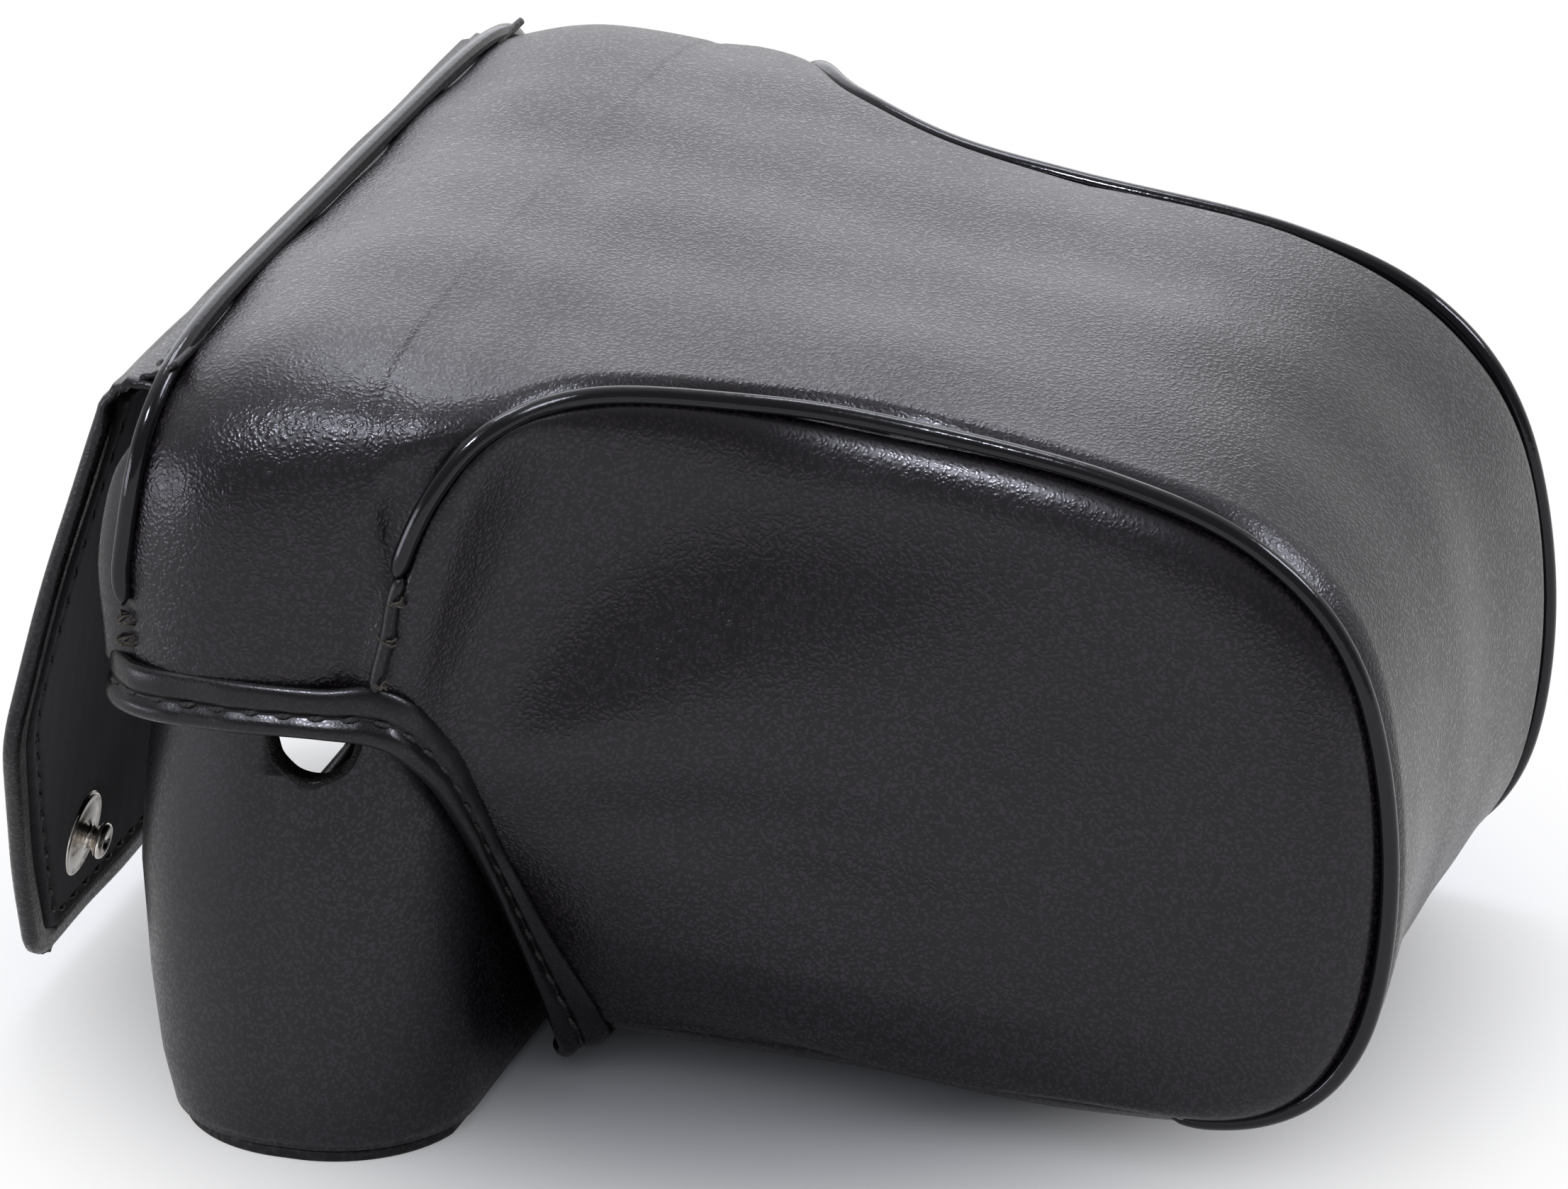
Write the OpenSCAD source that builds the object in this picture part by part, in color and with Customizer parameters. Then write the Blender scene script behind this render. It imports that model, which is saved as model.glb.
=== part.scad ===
// Leather ever ready case for a 35 mm reflex camera, shown closed with its back flap hanging open.
// The frame: +Z up, the lens nose points to -Y, the origin lies on the sole under the camera screw.

/* [Hood] */
// Half width of the hood at its rim
hood_half = 74.3; // [73.8:0.1:75]
// Height of the hood's top over the table
hood_top = 100; // [98.4:0.1:101]
// Height of the hood's rim at both ends
rim_z = 61.5; // [61:0.1:62]
// Half width of the lens nose at its seam
nose_half = 41.7; // [40:0.1:44]
// Distance from the screw axis to the front seam of the nose
nose_reach = 124.8; // [115:0.2:128]
// How far the nose panel rolls up beside its seams
nose_lip = 2.2; // [1.2:0.1:2.6]
// How far the nose panel is crowned between its seams
nose_crown = 1.3; // [1:0.1:2.4]
// How far the front of the nose is dished between its seams
front_dish = 3; // [1.5:0.1:3.5]
// How far each nose cheek swells out beyond its seam
cheek_swell = 5; // [3:0.1:5.5]
// How far the back panel swells out behind its seam
back_swell = 1.6; // [1:0.1:1.8]

/* [Leather and trim] */
// Thickness of the hood leather
hood_leather = 1.8; // [1.4:0.1:2]
// Thickness of the lining cloth
lining = 0.6; // [0.4:0.1:0.7]
// Diameter of the piping cord in the seams
piping_d = 2.2; // [2:0.1:2.8]
// Thickness of the binding on the hood's rim
binding_t = 2.2; // [1.6:0.1:2.3]
// Diameter of the sewing thread
thread_d = 0.9; // [0.6:0.1:1.2]

/* [Half case] */
// Half width of the half case at its widest
case_half = 72.4; // [72:0.1:72.6]
// Half width of the half case at its top edge
case_top_half = 71; // [70:0.1:71.2]
// Distance from the screw axis to the front wall
case_front = 18.2; // [17.4:0.1:18.4]
// Radius of the half case's upright corners
case_corner = 17; // [12:0.5:17]
// Thickness of the half case's leather
case_leather = 2.2; // [1.8:0.1:2.6]
// Height of the end walls
end_wall_z = 64; // [62:0.5:66]
// Height of the front wall below the lens
lens_notch_z = 12; // [10:0.5:20]
// Height of the back wall in the middle
back_notch_z = 17; // [14:0.5:18]
// Diameter of the strap lug hole in each end
lug_hole_d = 10; // [8:0.5:10.5]
// Thickness of the sole
sole_t = 1.6; // [1.2:0.1:2]
// Thickness of the stiffening board on the sole
board_t = 5; // [4.5:0.1:5.5]
// Thickness of the floor pad
pad_t = 1.3; // [1.2:0.1:1.6]

/* [Camera screw] */
// Outer diameter of the camera screw's thread, a quarter inch
screw_d = 6.35; // [6.3:0.01:6.4]
// Length of thread over the floor pad
screw_reach = 5; // [4:0.1:5.5]
// Diameter of the screw's head
head_d = 18.4; // [16:0.1:18.8]
// Bore of the tripod thread in the head
socket_d = 5.2; // [5:0.05:5.4]
// Depth of the tripod thread in the head
socket_depth = 5; // [4:0.1:5]

/* [Flap] */
// Half width of the flap at its corners
flap_half = 64.5; // [60:0.5:66]
// Length of the flap from the fold to its lower edge
flap_length = 89; // [86:0.5:91]
// Length of the flap's straight sides
flap_side = 48.5; // [45:0.5:51]
// Half width of the flap where its slanted sides would meet the lower edge
flap_foot = 42; // [36:0.5:44]
// Radius of the flap's lower corners
flap_corner = 9; // [6:0.5:10]
// How far the flap leans back from upright
flap_lean = 14; // [13.5:0.1:14.5]
// How far the flap is bowed outwards
flap_bow = 2.6; // [2:0.1:3]
// Thickness of the whole flap
flap_t = 2.4; // [2:0.1:2.4]
// Swing of the flap from its hanging pose to closed
flap_swing = 12.4; // [12:0.1:12.4]
// Distance of each press stud from the middle
stud_x = 32; // [28:0.5:34]

/* [Hidden] */

black = "#1b1b1f";
black_gloss = "#101014";
cloth = "#2a2828";
nickel = "#b9b4ac";
tan = "#8a7a58";

// Hood stations from the back seam round the nose to the underside of its mouth:
// half width, y and z of the edge, direction and rise of the arch, its squareness,
// roll beside the seam and crown between the seams
body_rise = hood_top - rim_z;
back_drop = 2.4;
under_crown = 2;
stations = [
    [hood_half - 1.5, 20, rim_z, 98.4, body_rise - back_drop, 6, 0, 0],
    [hood_half, 5, rim_z, 93, body_rise, 6, 0, 0],
    [hood_half - 2.3, -12.3, rim_z, 85, body_rise - 0.1, 6, 0, 0],
    [70.4, -15, 75, 82, 24.4, 5, 0.3, 0],
    [68.5, -19.3, 85.5, 80, 12.5, 4.2, 0.8, 0.2],
    [63.4, -24.8, 92, 88, 3.5, 3.5, 1.3, 1],
    [53, -32.8, 92.9, 92, 1, 3.2, nose_lip - 0.4, nose_crown - 0.4],
    [nose_half + 3.2, -47.5, 90.9, 96, 0.3, 3, nose_lip, nose_crown],
    [nose_half, -64.6, 89, 97, 0, 3, nose_lip, nose_crown],
    [nose_half, -92, 85, 103, 0, 3, nose_lip, nose_crown - 0.5],
    [nose_half - 0.3, nose_reach * -0.881, 77.8, 122, 0, 3, nose_lip, nose_crown - 1.1],
    [nose_half - 0.8, nose_reach * -0.967, 64.2, 156, 0, 3, nose_lip, front_dish * -0.2],
    [nose_half - 0.6, -nose_reach, 41, 180, 0, 3, nose_lip, front_dish * -0.6],
    [nose_half - 0.3, nose_reach * -0.975, 19, 206, 0, 3, nose_lip, -front_dish],
    [nose_half + 0.2, nose_reach * -0.885, 7.5, 242, 0, 3, nose_lip - 0.2, front_dish * -0.3],
    [nose_half, -88, 6.1, 270, 1.5, 2.6, nose_lip - 0.7, under_crown],
    [nose_half - 0.2, -58, 8.6, 272, 3, 2.4, nose_lip - 1, under_crown + 1],
    [nose_half + 0.3, -29.3, 8.8, 295, 3, 2.4, nose_lip - 1.2, under_crown + 0.8]
];
lip_width = 5;
seam = [for (k = [2 : 17]) [stations[k][0], stations[k][1], stations[k][2]]];
piping_from = 1;
piping_to = 12.5;

// Upper and lower edge of the rim binding, from the middle of the back round one end to the nose
rim_upper = [
    [0, 22.2, rim_z], [45, 22.2, rim_z], [63.5, 20.9, rim_z], [71.2, 16.5, rim_z - 0.2],
    [hood_half, 6, rim_z], [hood_half - 0.3, -6, rim_z], seam[0], [69, -16.4, 58.3],
    [63, -19.2, 50], [55.5, -21.2, 37], [47.5, -25.3, 21], seam[15],
    [36, -28, 4.2], [20, -26.6, 3], [0, -26.3, 2.8]
];
rim_lower = [
    [0, 22.2, 56], [45, 22.2, 56], [64.2, 21.1, 55.9], [71.8, 16.8, 55.8],
    [hood_half + 0.3, 6, 56], [hood_half, -6.5, 56.3], [73, -12.2, 55.6], [71.4, -15.4, 53.4],
    [65.8, -18.3, 46.6], [56.9, -19.9, 34], [48, -22.4, 17.6], [42.1, -24.4, 5],
    [37, -22.4, 2.4], [20, -20.9, 2], [0, -20.7, 2]
];
cheek_rim = [for (k = [6 : 11]) rim_upper[k]];

// Half case: height and half depth of its bulging back wall
back_bulge = [
    [sole_t, 18.8], [8, 20.2], [18, 21.4], [32, 22.2], [46, 21.2], [54, 20.2], [66, 19.8]
];
wall_shoulder_z = 57;
back_shoulder_z = 30;
lens_slope = [22, 46];
notch_slope = [9, 24];
shoulder_slope = [42, 62];
front_end_slope = [56, 70];
back_end_slope = [60, 70];
lug_y = -4;
lug_z = 54;
board_z = sole_t;
pad_z = board_z + board_t;
camera_z = pad_z + pad_t;
sole_half = case_half - 0.5;
sole_inset = 0.6;
floor_inset = case_leather + 1.9;
floor_half = case_half - floor_inset;
floor_depth = case_front - floor_inset + 0.9;
floor_corner = case_corner - floor_inset;
cup_r = 10.6;
cup_t = 0.8;
cup_rim = 2.4;
cup_clear = 0.1;
web_t = 0.7;
head_gap = 0.3;
neck_r = 2.5;
screw_clear = 0.2;
ring_w = 1.8;
ring_play = 0.05;

// The flap's fold line, and the place of its studs and their sockets when it is closed
fold = [0, 22.4, 92.4];
stud_z = 17.5;
stud_y = 24.4;
stud_height = 3.4;
stud_flange_r = 5.4;
stud_post_r = 1.5;
stud_head_r = 2.3;
socket_y = 21.4;
socket_r = 5.2;
socket_hole_r = 2.75;
sleeve_r = 3.6;
socket_t = 1.2;
rivet_t = 0.7;
rivet_seat = 3.6;
cap_r = 5.6;
stud_dish_r = 0.9;
stud_dish = 1.2;

function lerp(a, b, t) = a + (b - a) * t;
function smooth(a, b, x) = let (t = max(0, min(1, (x - a) / (b - a)))) t * t * (3 - 2 * t);
function ramp(span, x) = smooth(span[0], span[1], x);
function unit(v) = v / norm(v);

// Catmull-Rom curve through the points p, with u counting the points
function spline(p, u) =
    let (last = len(p) - 1, i = max(0, min(last - 1, floor(u))), t = u - i,
         b = p[i], c = p[i + 1],
         a = i > 0 ? p[i - 1] : 2 * b - c,
         d = i + 1 < last ? p[i + 2] : 2 * c - b)
    0.5 * (2 * b + (c - a) * t + (2 * a - 5 * b + 4 * c - d) * t * t
        + (3 * b - a - 3 * c + d) * t * t * t);
function spline_line(p, steps, from = 0, to = undef) =
    let (end = is_undef(to) ? len(p) - 1 : to, n = round((end - from) * steps))
    [for (k = [0 : n]) spline(p, from + (end - from) * k / n)];
function bulge_at(z) = lookup(z, back_bulge);

// Closed solid between two grids of the same size; the columns of a wrapped grid close on themselves
function rows_flat(g) = [for (row = g) each row];
function shell_faces(m, n, wrap) =
    let (o = m * n, cols = wrap ? n : n - 1)
    [for (i = [0 : m - 2], j = [0 : cols - 1])
        let (k = (j + 1) % n, a = i * n + j, b = i * n + k, c = b + n, d = a + n)
        each [[a, b, c], [a, c, d], [a + o, c + o, b + o], [a + o, d + o, c + o]],
     for (j = [0 : cols - 1])
        let (k = (j + 1) % n, a = j, b = k, d = (m - 1) * n + j, c = (m - 1) * n + k)
        each [[b, a, a + o], [b, a + o, b + o], [d, c, c + o], [d, c + o, d + o]],
     if (!wrap) for (i = [0 : m - 2])
        let (a = i * n, d = a + n, b = a + n - 1, c = b + n)
        each [[a, d, d + o], [a, d + o, a + o], [c, b, b + o], [c, b + o, c + o]]];
module shell(outer, inner, wrap = false, flip = false) {
    faces = shell_faces(len(outer), len(outer[0]), wrap);
    polyhedron(
        concat(rows_flat(outer), rows_flat(inner)),
        flip ? [for (f = faces) [f[0], f[2], f[1]]] : faces,
        convexity = 10
    );
}

// Round rod along a path, closed by flat ends; ref is a direction the path never takes
function path_tangent(p, i) = unit(p[min(i + 1, len(p) - 1)] - p[max(i - 1, 0)]);
module rod(path, r, ref, sides = 8) {
    n = len(path);
    rings = [for (i = [0 : n - 1])
        let (t = path_tangent(path, i), u = unit(cross(ref, t)), v = cross(t, u))
        for (j = [0 : sides - 1]) let (a = 360 * j / sides) path[i] + r * (u * cos(a) + v * sin(a))];
    walls = [for (i = [0 : n - 2], j = [0 : sides - 1])
        let (k = (j + 1) % sides, a = i * sides + j, b = i * sides + k, c = b + sides, d = a + sides)
        each [[a, c, b], [a, d, c]]];
    first = [for (j = [1 : sides - 2]) [0, j, j + 1]];
    base = (n - 1) * sides;
    final = [for (j = [1 : sides - 2]) [base, base + j + 1, base + j]];
    polyhedron(rings, concat(walls, first, final), convexity = 10);
}

// One arch of the hood from its left edge to its right: a superellipse, with a roll beside the seams and a
// crown between them; a flat arch is thickened downwards, a high one towards its middle
function arch(st, depth, cols) =
    let (w = st[0] - depth, k = 2 / st[5], high = smooth(0, 12, st[4]), rise = st[4] - depth * high)
    [for (j = [0 : cols])
        let (a = 180 * j / cols, c = cos(a), x = w * sign(c) * pow(abs(c), k),
             fall = max(0, 1 - (w - abs(x)) / lip_width),
             h = rise * pow(max(0, sin(a)), k) + st[6] * sqrt(1 - fall * fall)
                 + st[7] * (1 - pow(x / w, 2)) - depth * (1 - high))
        [-x, st[1] + h * cos(st[3]), st[2] + h * sin(st[3])]];
function hood_grid(depth, steps, cols) = [for (st = spline_line(stations, steps)) arch(st, depth, cols)];

// Cheek: rows fan out from the rim to the seam; the cheek leaves the rim gently, swells out past the seam,
// and rolls back to it over a band of fixed width
cheek_ends = 0.015;
cheek_roll = 11;
cheek_foot = 34;
cheek_flare = 2.2;
function cheek_point(u, v, depth) =
    let (r = spline(cheek_rim, u * 5), s = spline(seam, u * 15), long = norm(s - r),
         reach = min(1, 4 * u, 4 * (1 - u)),
         roll = min(cheek_roll, 0.4 * long), foot = min(cheek_foot, 0.6 * long),
         near_seam = max(0, 1 - (1 - v) * long / roll), near_rim = max(0, 1 - v * long / foot),
         swell = cheek_swell * reach * sqrt(1 - near_seam * near_seam) * (1 - pow(near_rim, 3)),
         x = lerp(r[0], s[0], 1 - pow(1 - v, cheek_flare)) + swell)
    [x - depth, lerp(r[1], s[1], v), lerp(r[2], s[2], v)];
function cheek_grid(depth, rows, cols) =
    [for (i = [0 : rows]) [for (j = [0 : cols])
        cheek_point(lerp(cheek_ends, 1 - cheek_ends, i / rows), (1 - cos(180 * j / cols)) / 2, depth)]];

// Back panel: the back arch shrunk towards the middle of its lower edge, and swelling inside it
back_first = 0.06;
back_lip = 0.6;
back_fall = 3;
function back_grid(depth, rows, cols) =
    let (edge = arch(stations[0], 0, cols), foot = [0, stations[0][1], rim_z])
    [for (i = [0 : rows])
        let (s = lerp(back_first, 1, sqrt(i / rows)))
        [for (p = edge)
            let (q = foot + s * (p - foot), fill = 1 - pow(s, 8),
                 top = smooth(rim_z + 14, hood_top + 3.6, q[2]),
                 y = lerp(p[1], stations[0][1] + back_swell + back_lip * smooth(rim_z, rim_z + 8, q[2])
                     - back_fall * top, fill))
            [q[0], y - depth, q[2]]]];

// Rim binding: a band between the two edges of the rim, on one side of the middle plane
function rim_frame(u) =
    let (a = spline(rim_upper, u), b = spline(rim_lower, u), e = 0.05,
         t = spline(rim_upper, min(u + e, 14)) - spline(rim_upper, max(u - e, 0)))
    [a, b, unit(cross(t, b - a))];
function rim_band(depth, steps) =
    [for (k = [0 : 14 * steps])
        let (f = rim_frame(k / steps))
        [for (v = [0, 0.5, 1]) lerp(f[0], f[1], v) - f[2] * (depth - 0.1 * (1 - abs(2 * v - 1)))]];
module both_sides() {
    children();
    mirror([1, 0, 0]) children();
}

// Half case: an outline with round corners, deeper behind than in front, at a height z
foot_tuck = 0.5;
function case_side(z) = lerp(case_half, case_top_half, smooth(34, 58, z)) - foot_tuck * (1 - smooth(0, 8, z));
function outline_point(k, count, z, depth) =
    let (turn = 360 * (k + 0.5) / count, r = case_corner, a = case_side(z), side = sign(cos(turn)),
         face = sign(sin(turn)), t = abs(atan(tan(turn))) / 90,
         straight = max(0, t - 0.42) / 0.58, bend = min(1, t / 0.42) * 90,
         x = side * ((a - r) * (1 - straight) + r * cos(bend)),
         y = case_front - r + r * sin(bend), deep = face > 0 ? bulge_at(z) / case_front : 1)
    [x - depth * side * cos(bend), face * (y * deep - depth * sin(bend)), z];
function wall_top(p) =
    let (x = abs(p[0]), front = p[1] < 0)
    front
        ? lerp(lens_notch_z, wall_shoulder_z, ramp(lens_slope, x))
            + (end_wall_z - wall_shoulder_z) * ramp(front_end_slope, x)
        : lerp(back_notch_z, back_shoulder_z, ramp(notch_slope, x))
            + (wall_shoulder_z - back_shoulder_z) * ramp(shoulder_slope, x)
            + (end_wall_z - wall_shoulder_z) * ramp(back_end_slope, x);
function wall_grid(depth, from_z, rows, count) =
    [for (i = [0 : rows]) [for (k = [0 : count - 1])
        let (foot = outline_point(k, count, from_z, depth), top = wall_top(foot),
             z = lerp(from_z, top, i / rows))
        outline_point(k, count, z, depth)]];
module lug_holes() {
    for (side = [-1, 1])
        translate([side * case_half, lug_y, lug_z]) rotate([0, 90, 0])
            cylinder(d = lug_hole_d, h = 20, center = true, $fn = 48);
}
module socket_axis() {
    for (side = [-1, 1])
        translate([side * stud_x, socket_y, stud_z]) rotate([-90, 0, 0]) children();
}
module rounded_plate(half, depth, r, h) {
    linear_extrude(h) {
        square([2 * (half - r), 2 * depth], center = true);
        square([2 * half, 2 * (depth - r)], center = true);
        for (sx = [-1, 1], sy = [-1, 1])
            translate([sx * (half - r), sy * (depth - r)]) circle(r, $fn = 64);
    }
}

module half_case_wall() {
    color(black) difference() {
        shell(wall_grid(0, sole_t, 8, 64), wall_grid(case_leather, sole_t, 8, 64), wrap = true);
        lug_holes();
        socket_axis() cylinder(r = sleeve_r, h = 12, center = true, $fn = 48);
    }
}
module half_case_lining() {
    inner = case_leather + lining;
    color(cloth) difference() {
        shell(wall_grid(case_leather, camera_z, 6, 64), wall_grid(inner, camera_z, 6, 64), wrap = true);
        lug_holes();
        socket_axis() cylinder(r = sleeve_r, h = 12, center = true, $fn = 48);
    }
}
module sole() {
    color(black) difference() {
        rounded_plate(sole_half, case_front - sole_inset, case_corner - sole_inset, sole_t);
        cylinder(r = cup_r + cup_clear, h = 3 * sole_t, center = true, $fn = 64);
    }
}
module base_board() {
    color("#5b4a38") translate([0, 0, board_z]) difference() {
        rounded_plate(floor_half, floor_depth, floor_corner, board_t);
        cylinder(r = cup_r + cup_clear, h = 3 * board_t, center = true, $fn = 64);
    }
}
module floor_pad() {
    color(cloth) translate([0, 0, pad_z]) difference() {
        rounded_plate(floor_half, floor_depth, floor_corner, pad_t);
        cylinder(r = cup_r + cup_rim + 2 * cup_clear, h = 3 * pad_t, center = true, $fn = 64);
    }
}
module screw_escutcheon() {
    color(nickel) difference() {
        union() {
            translate([0, 0, head_gap]) cylinder(r = cup_r, h = pad_z - head_gap, $fn = 64);
            translate([0, 0, pad_z]) cylinder(r = cup_r + cup_rim, h = web_t, $fn = 64);
        }
        translate([0, 0, -1]) cylinder(r = cup_r - cup_t, h = pad_z + 1, $fn = 64);
        cylinder(d = screw_d + screw_clear, h = 40, center = true, $fn = 48);
    }
}
module snap_sockets() {
    color(nickel) socket_axis() difference() {
        union() {
            cylinder(r = socket_r, h = socket_t, $fn = 48);
            translate([0, 0, -rivet_seat]) cylinder(r = sleeve_r, h = rivet_seat + socket_t / 2, $fn = 48);
        }
        cylinder(r = socket_hole_r, h = 20, center = true, $fn = 48);
    }
}
module socket_rivets() {
    color(nickel) socket_axis() translate([0, 0, -rivet_seat]) difference() {
        cylinder(r = socket_r, h = rivet_t, $fn = 48);
        cylinder(r = sleeve_r, h = 4, center = true, $fn = 48);
    }
}

module camera_screw() {
    chamfer = 0.6;
    slot_w = 1.8;
    tip = camera_z + screw_reach;
    color(nickel) difference() {
        union() {
            cylinder(d = head_d, h = pad_z - head_gap, $fn = 64);
            cylinder(r = neck_r, h = camera_z + 0.1, $fn = 48);
            translate([0, 0, camera_z]) cylinder(d = screw_d, h = screw_reach - chamfer, $fn = 48);
            translate([0, 0, tip - chamfer])
                cylinder(d1 = screw_d, d2 = screw_d - 2 * chamfer, h = chamfer, $fn = 48);
        }
        translate([0, 0, -1]) cylinder(d = socket_d, h = 1 + socket_depth, $fn = 48);
        for (side = [-1, 1])
            translate([side * head_d / 2, 0, 0]) cube([head_d - socket_d - 4, slot_w, 2.4], center = true);
    }
}
module retaining_ring() {
    color(nickel) translate([0, 0, pad_z + web_t + ring_play]) difference() {
        cylinder(d = screw_d + 2 * ring_w, h = pad_t - web_t - 2 * ring_play, $fn = 48);
        cylinder(r = neck_r, h = 9, center = true, $fn = 48);
    }
}

module hood_panel() {
    color(black) shell(hood_grid(0, 2, 18), hood_grid(hood_leather, 2, 18));
}
module hood_lining() {
    color(cloth) shell(hood_grid(hood_leather, 2, 18), hood_grid(hood_leather + lining, 2, 18));
}
module cheek(side) {
    mirror([side < 0 ? 1 : 0, 0, 0])
        shell(cheek_grid(0, 24, 10), cheek_grid(hood_leather, 24, 10));
}
module cheek_lining(side) {
    mirror([side < 0 ? 1 : 0, 0, 0])
        shell(cheek_grid(hood_leather, 24, 10), cheek_grid(hood_leather + lining, 24, 10));
}
module left_cheek() {
    color(black) cheek(-1);
}
module right_cheek() {
    color(black) cheek(1);
}
module left_cheek_lining() {
    color(cloth) cheek_lining(-1);
}
module right_cheek_lining() {
    color(cloth) cheek_lining(1);
}
module back_panel() {
    color(black) shell(back_grid(0, 6, 18), back_grid(hood_leather, 6, 18));
}
module back_lining() {
    color(cloth) shell(back_grid(hood_leather, 6, 18), back_grid(hood_leather + lining, 6, 18));
}
module seam_piping(side) {
    mirror([side < 0 ? 1 : 0, 0, 0])
        rod(spline_line(seam, 4, piping_from, piping_to), piping_d / 2, [1, 0, 0]);
}
module left_piping() {
    color(black_gloss) seam_piping(-1);
}
module right_piping() {
    color(black_gloss) seam_piping(1);
}
// The rear piping ends a little above the rim on both sides
rear_end = 7.5;
module rear_piping() {
    st = stations[0];
    tip = [st[0], st[1] + rear_end * cos(st[3]), rim_z + rear_end * sin(st[3])];
    over = [for (p = arch(st, 0, 30)) if (p[2] > rim_z + rear_end) p];
    color(black_gloss) rod(concat([[-tip[0], tip[1], tip[2]]], over, [tip]), piping_d / 2, [0, 1, 0]);
}
module rim_binding() {
    color(black) both_sides() shell(rim_band(-1, 3), rim_band(binding_t - 1, 3));
}
module rim_thread() {
    proud = 0.8;
    path = [for (k = [1 : 41]) let (f = rim_frame(k / 3)) lerp(f[0], f[1], 0.5) + f[2] * proud];
    color(black_gloss) both_sides() rod(path, thread_d / 2, [0.3, 0.2, 1], 6);
}
// Loose hand stitches that close the seams below the ends of the piping
module tack(p, along, length) {
    rod([p - along * length / 2, p + along * length / 2], thread_d / 2, [0, 0, 1], 6);
}
module seam_tacks() {
    color(tan) both_sides() {
        for (u = [0.15, 0.5, 0.85]) tack(spline(seam, u) + [0.3, -0.3, 0], unit([0.35, -1, 0]), 4);
        for (k = [1, 2]) let (h = rim_z + 2.4 * k) tack([hood_half - 1.3, 19.6, h], unit([1, -1.4, 0]), 3.5);
    }
}

// Flap, hanging: its outer face leaves the fold, leans back and bows out on the way down
fold_skin = 1;
function flap_outer(s) = fold + [0, fold_skin, 0] + s * [0, sin(flap_lean), -cos(flap_lean)]
    + [0, flap_bow * sin(180 * s / flap_length), 0];
function flap_width(s) =
    let (slope = (flap_half - flap_foot) / (flap_length - flap_side), lean = atan(slope),
         centre = flap_length - flap_corner,
         middle = flap_half - slope * (centre - flap_side) - flap_corner / cos(lean),
         side = flap_half - 1 + s / flap_side, slant = flap_half - slope * (s - flap_side),
         blend = 2.5, near = max(0, blend - abs(side - slant)))
    s > centre + flap_corner * sin(lean)
        ? middle + sqrt(max(0, pow(flap_corner, 2) - pow(s - centre, 2)))
        : min(side, slant) - near * near / (4 * blend);
flap_rows = concat(
    [0, 6, 14, 24, 34, 43, flap_side, 53, 60, 67, 74],
    [for (d = [9, 6, 4, 2.4, 1.2, 0.4, 0]) flap_length - d]
);
flap_turn = [0, -cos(flap_lean), -sin(flap_lean)];
flap_skin_t = flap_t * 0.55;
lining_inset = 2;
slant_gain = 1.15;
function flap_grid(depth, inset, cols) =
    [for (s = flap_rows)
        let (t = inset + s * (flap_length - 2 * inset) / flap_length,
             h = max(1, flap_width(t) - inset * slant_gain))
        [for (j = [0 : cols]) flap_outer(t) + depth * flap_turn + [h * (2 * j / cols - 1), 0, 0]]];
module on_flap() {
    translate(fold) rotate([flap_swing, 0, 0]) translate(-fold) children();
}
module stud_axis() {
    on_flap() for (side = [-1, 1])
        translate([side * stud_x, stud_y, stud_z]) rotate([90, 0, 0]) children();
}
module flap_root() {
    root = [[0, 17.4, 94.2], [0, 18.4, 94.6], [0, 19.5, 94.8], [0, 20.6, 94.7]];
    half = flap_half - 1.5;
    root_t = 0.9;
    function root_grid(depth) = [for (p = root) [for (j = [0 : 8])
        p + [half * (j / 4 - 1), 0, -depth]]];
    color(black) shell(root_grid(0), root_grid(root_t), flip = true);
}
module flap_leather() {
    color(black) difference() {
        shell(flap_grid(0, 0, 16), flap_grid(flap_skin_t, 0, 16), flip = true);
        stud_axis() cylinder(r = stud_post_r, h = 30, center = true, $fn = 32);
    }
}
module flap_lining() {
    color(cloth) difference() {
        shell(flap_grid(flap_skin_t, lining_inset, 16), flap_grid(flap_t, lining_inset, 16), flip = true);
        stud_axis() cylinder(r = stud_post_r, h = 30, center = true, $fn = 32);
    }
}
module flap_thread() {
    inset = 5.5;
    from = 6;
    to = flap_length - inset;
    turn_in = 1.5;
    lie = (flap_t - 0.1) * flap_turn;
    function at(s, side) = flap_outer(s) + lie + [side * (flap_width(s) - inset * slant_gain), 0, 0];
    path = concat(
        [for (k = [0 : 20]) at(lerp(from, to - turn_in, k / 20), -1)],
        [for (k = [1 : 9]) let (h = flap_width(to - turn_in) - inset * slant_gain - 2)
            flap_outer(to) + lie + [h * (k / 5 - 1), 0, 0]],
        [for (k = [20 : -1 : 0]) at(lerp(from, to - turn_in, k / 20), 1)]
    );
    color(black_gloss) rod(path, thread_d / 2, flap_turn, 6);
}
module snap_studs() {
    back = flap_t + 0.3;
    color(nickel) stud_axis() {
        rotate_extrude($fn = 48) polygon([
            [0, -back], [stud_post_r, -back], [stud_post_r, 0], [stud_flange_r, 0],
            [stud_flange_r, 0.4], [stud_flange_r * 0.7, 0.8], [stud_post_r, 0.8],
            [stud_post_r, stud_height - 1.3], [stud_head_r, stud_height - 0.9],
            [stud_head_r, stud_height - 0.4], [stud_head_r - 0.4, stud_height],
            [stud_dish_r, stud_height], [stud_dish_r, stud_height - stud_dish], [0, stud_height - stud_dish]
        ]);
    }
}
module snap_caps() {
    seat = flap_t + 0.35;
    color(black) stud_axis() rotate_extrude($fn = 48) polygon([
        [0, -seat], [cap_r, -seat], [cap_r, -seat - 0.4], [cap_r * 0.75, -seat - 1.1],
        [cap_r * 0.4, -seat - 1.5], [0, -seat - 1.6]
    ]);
}

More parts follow.
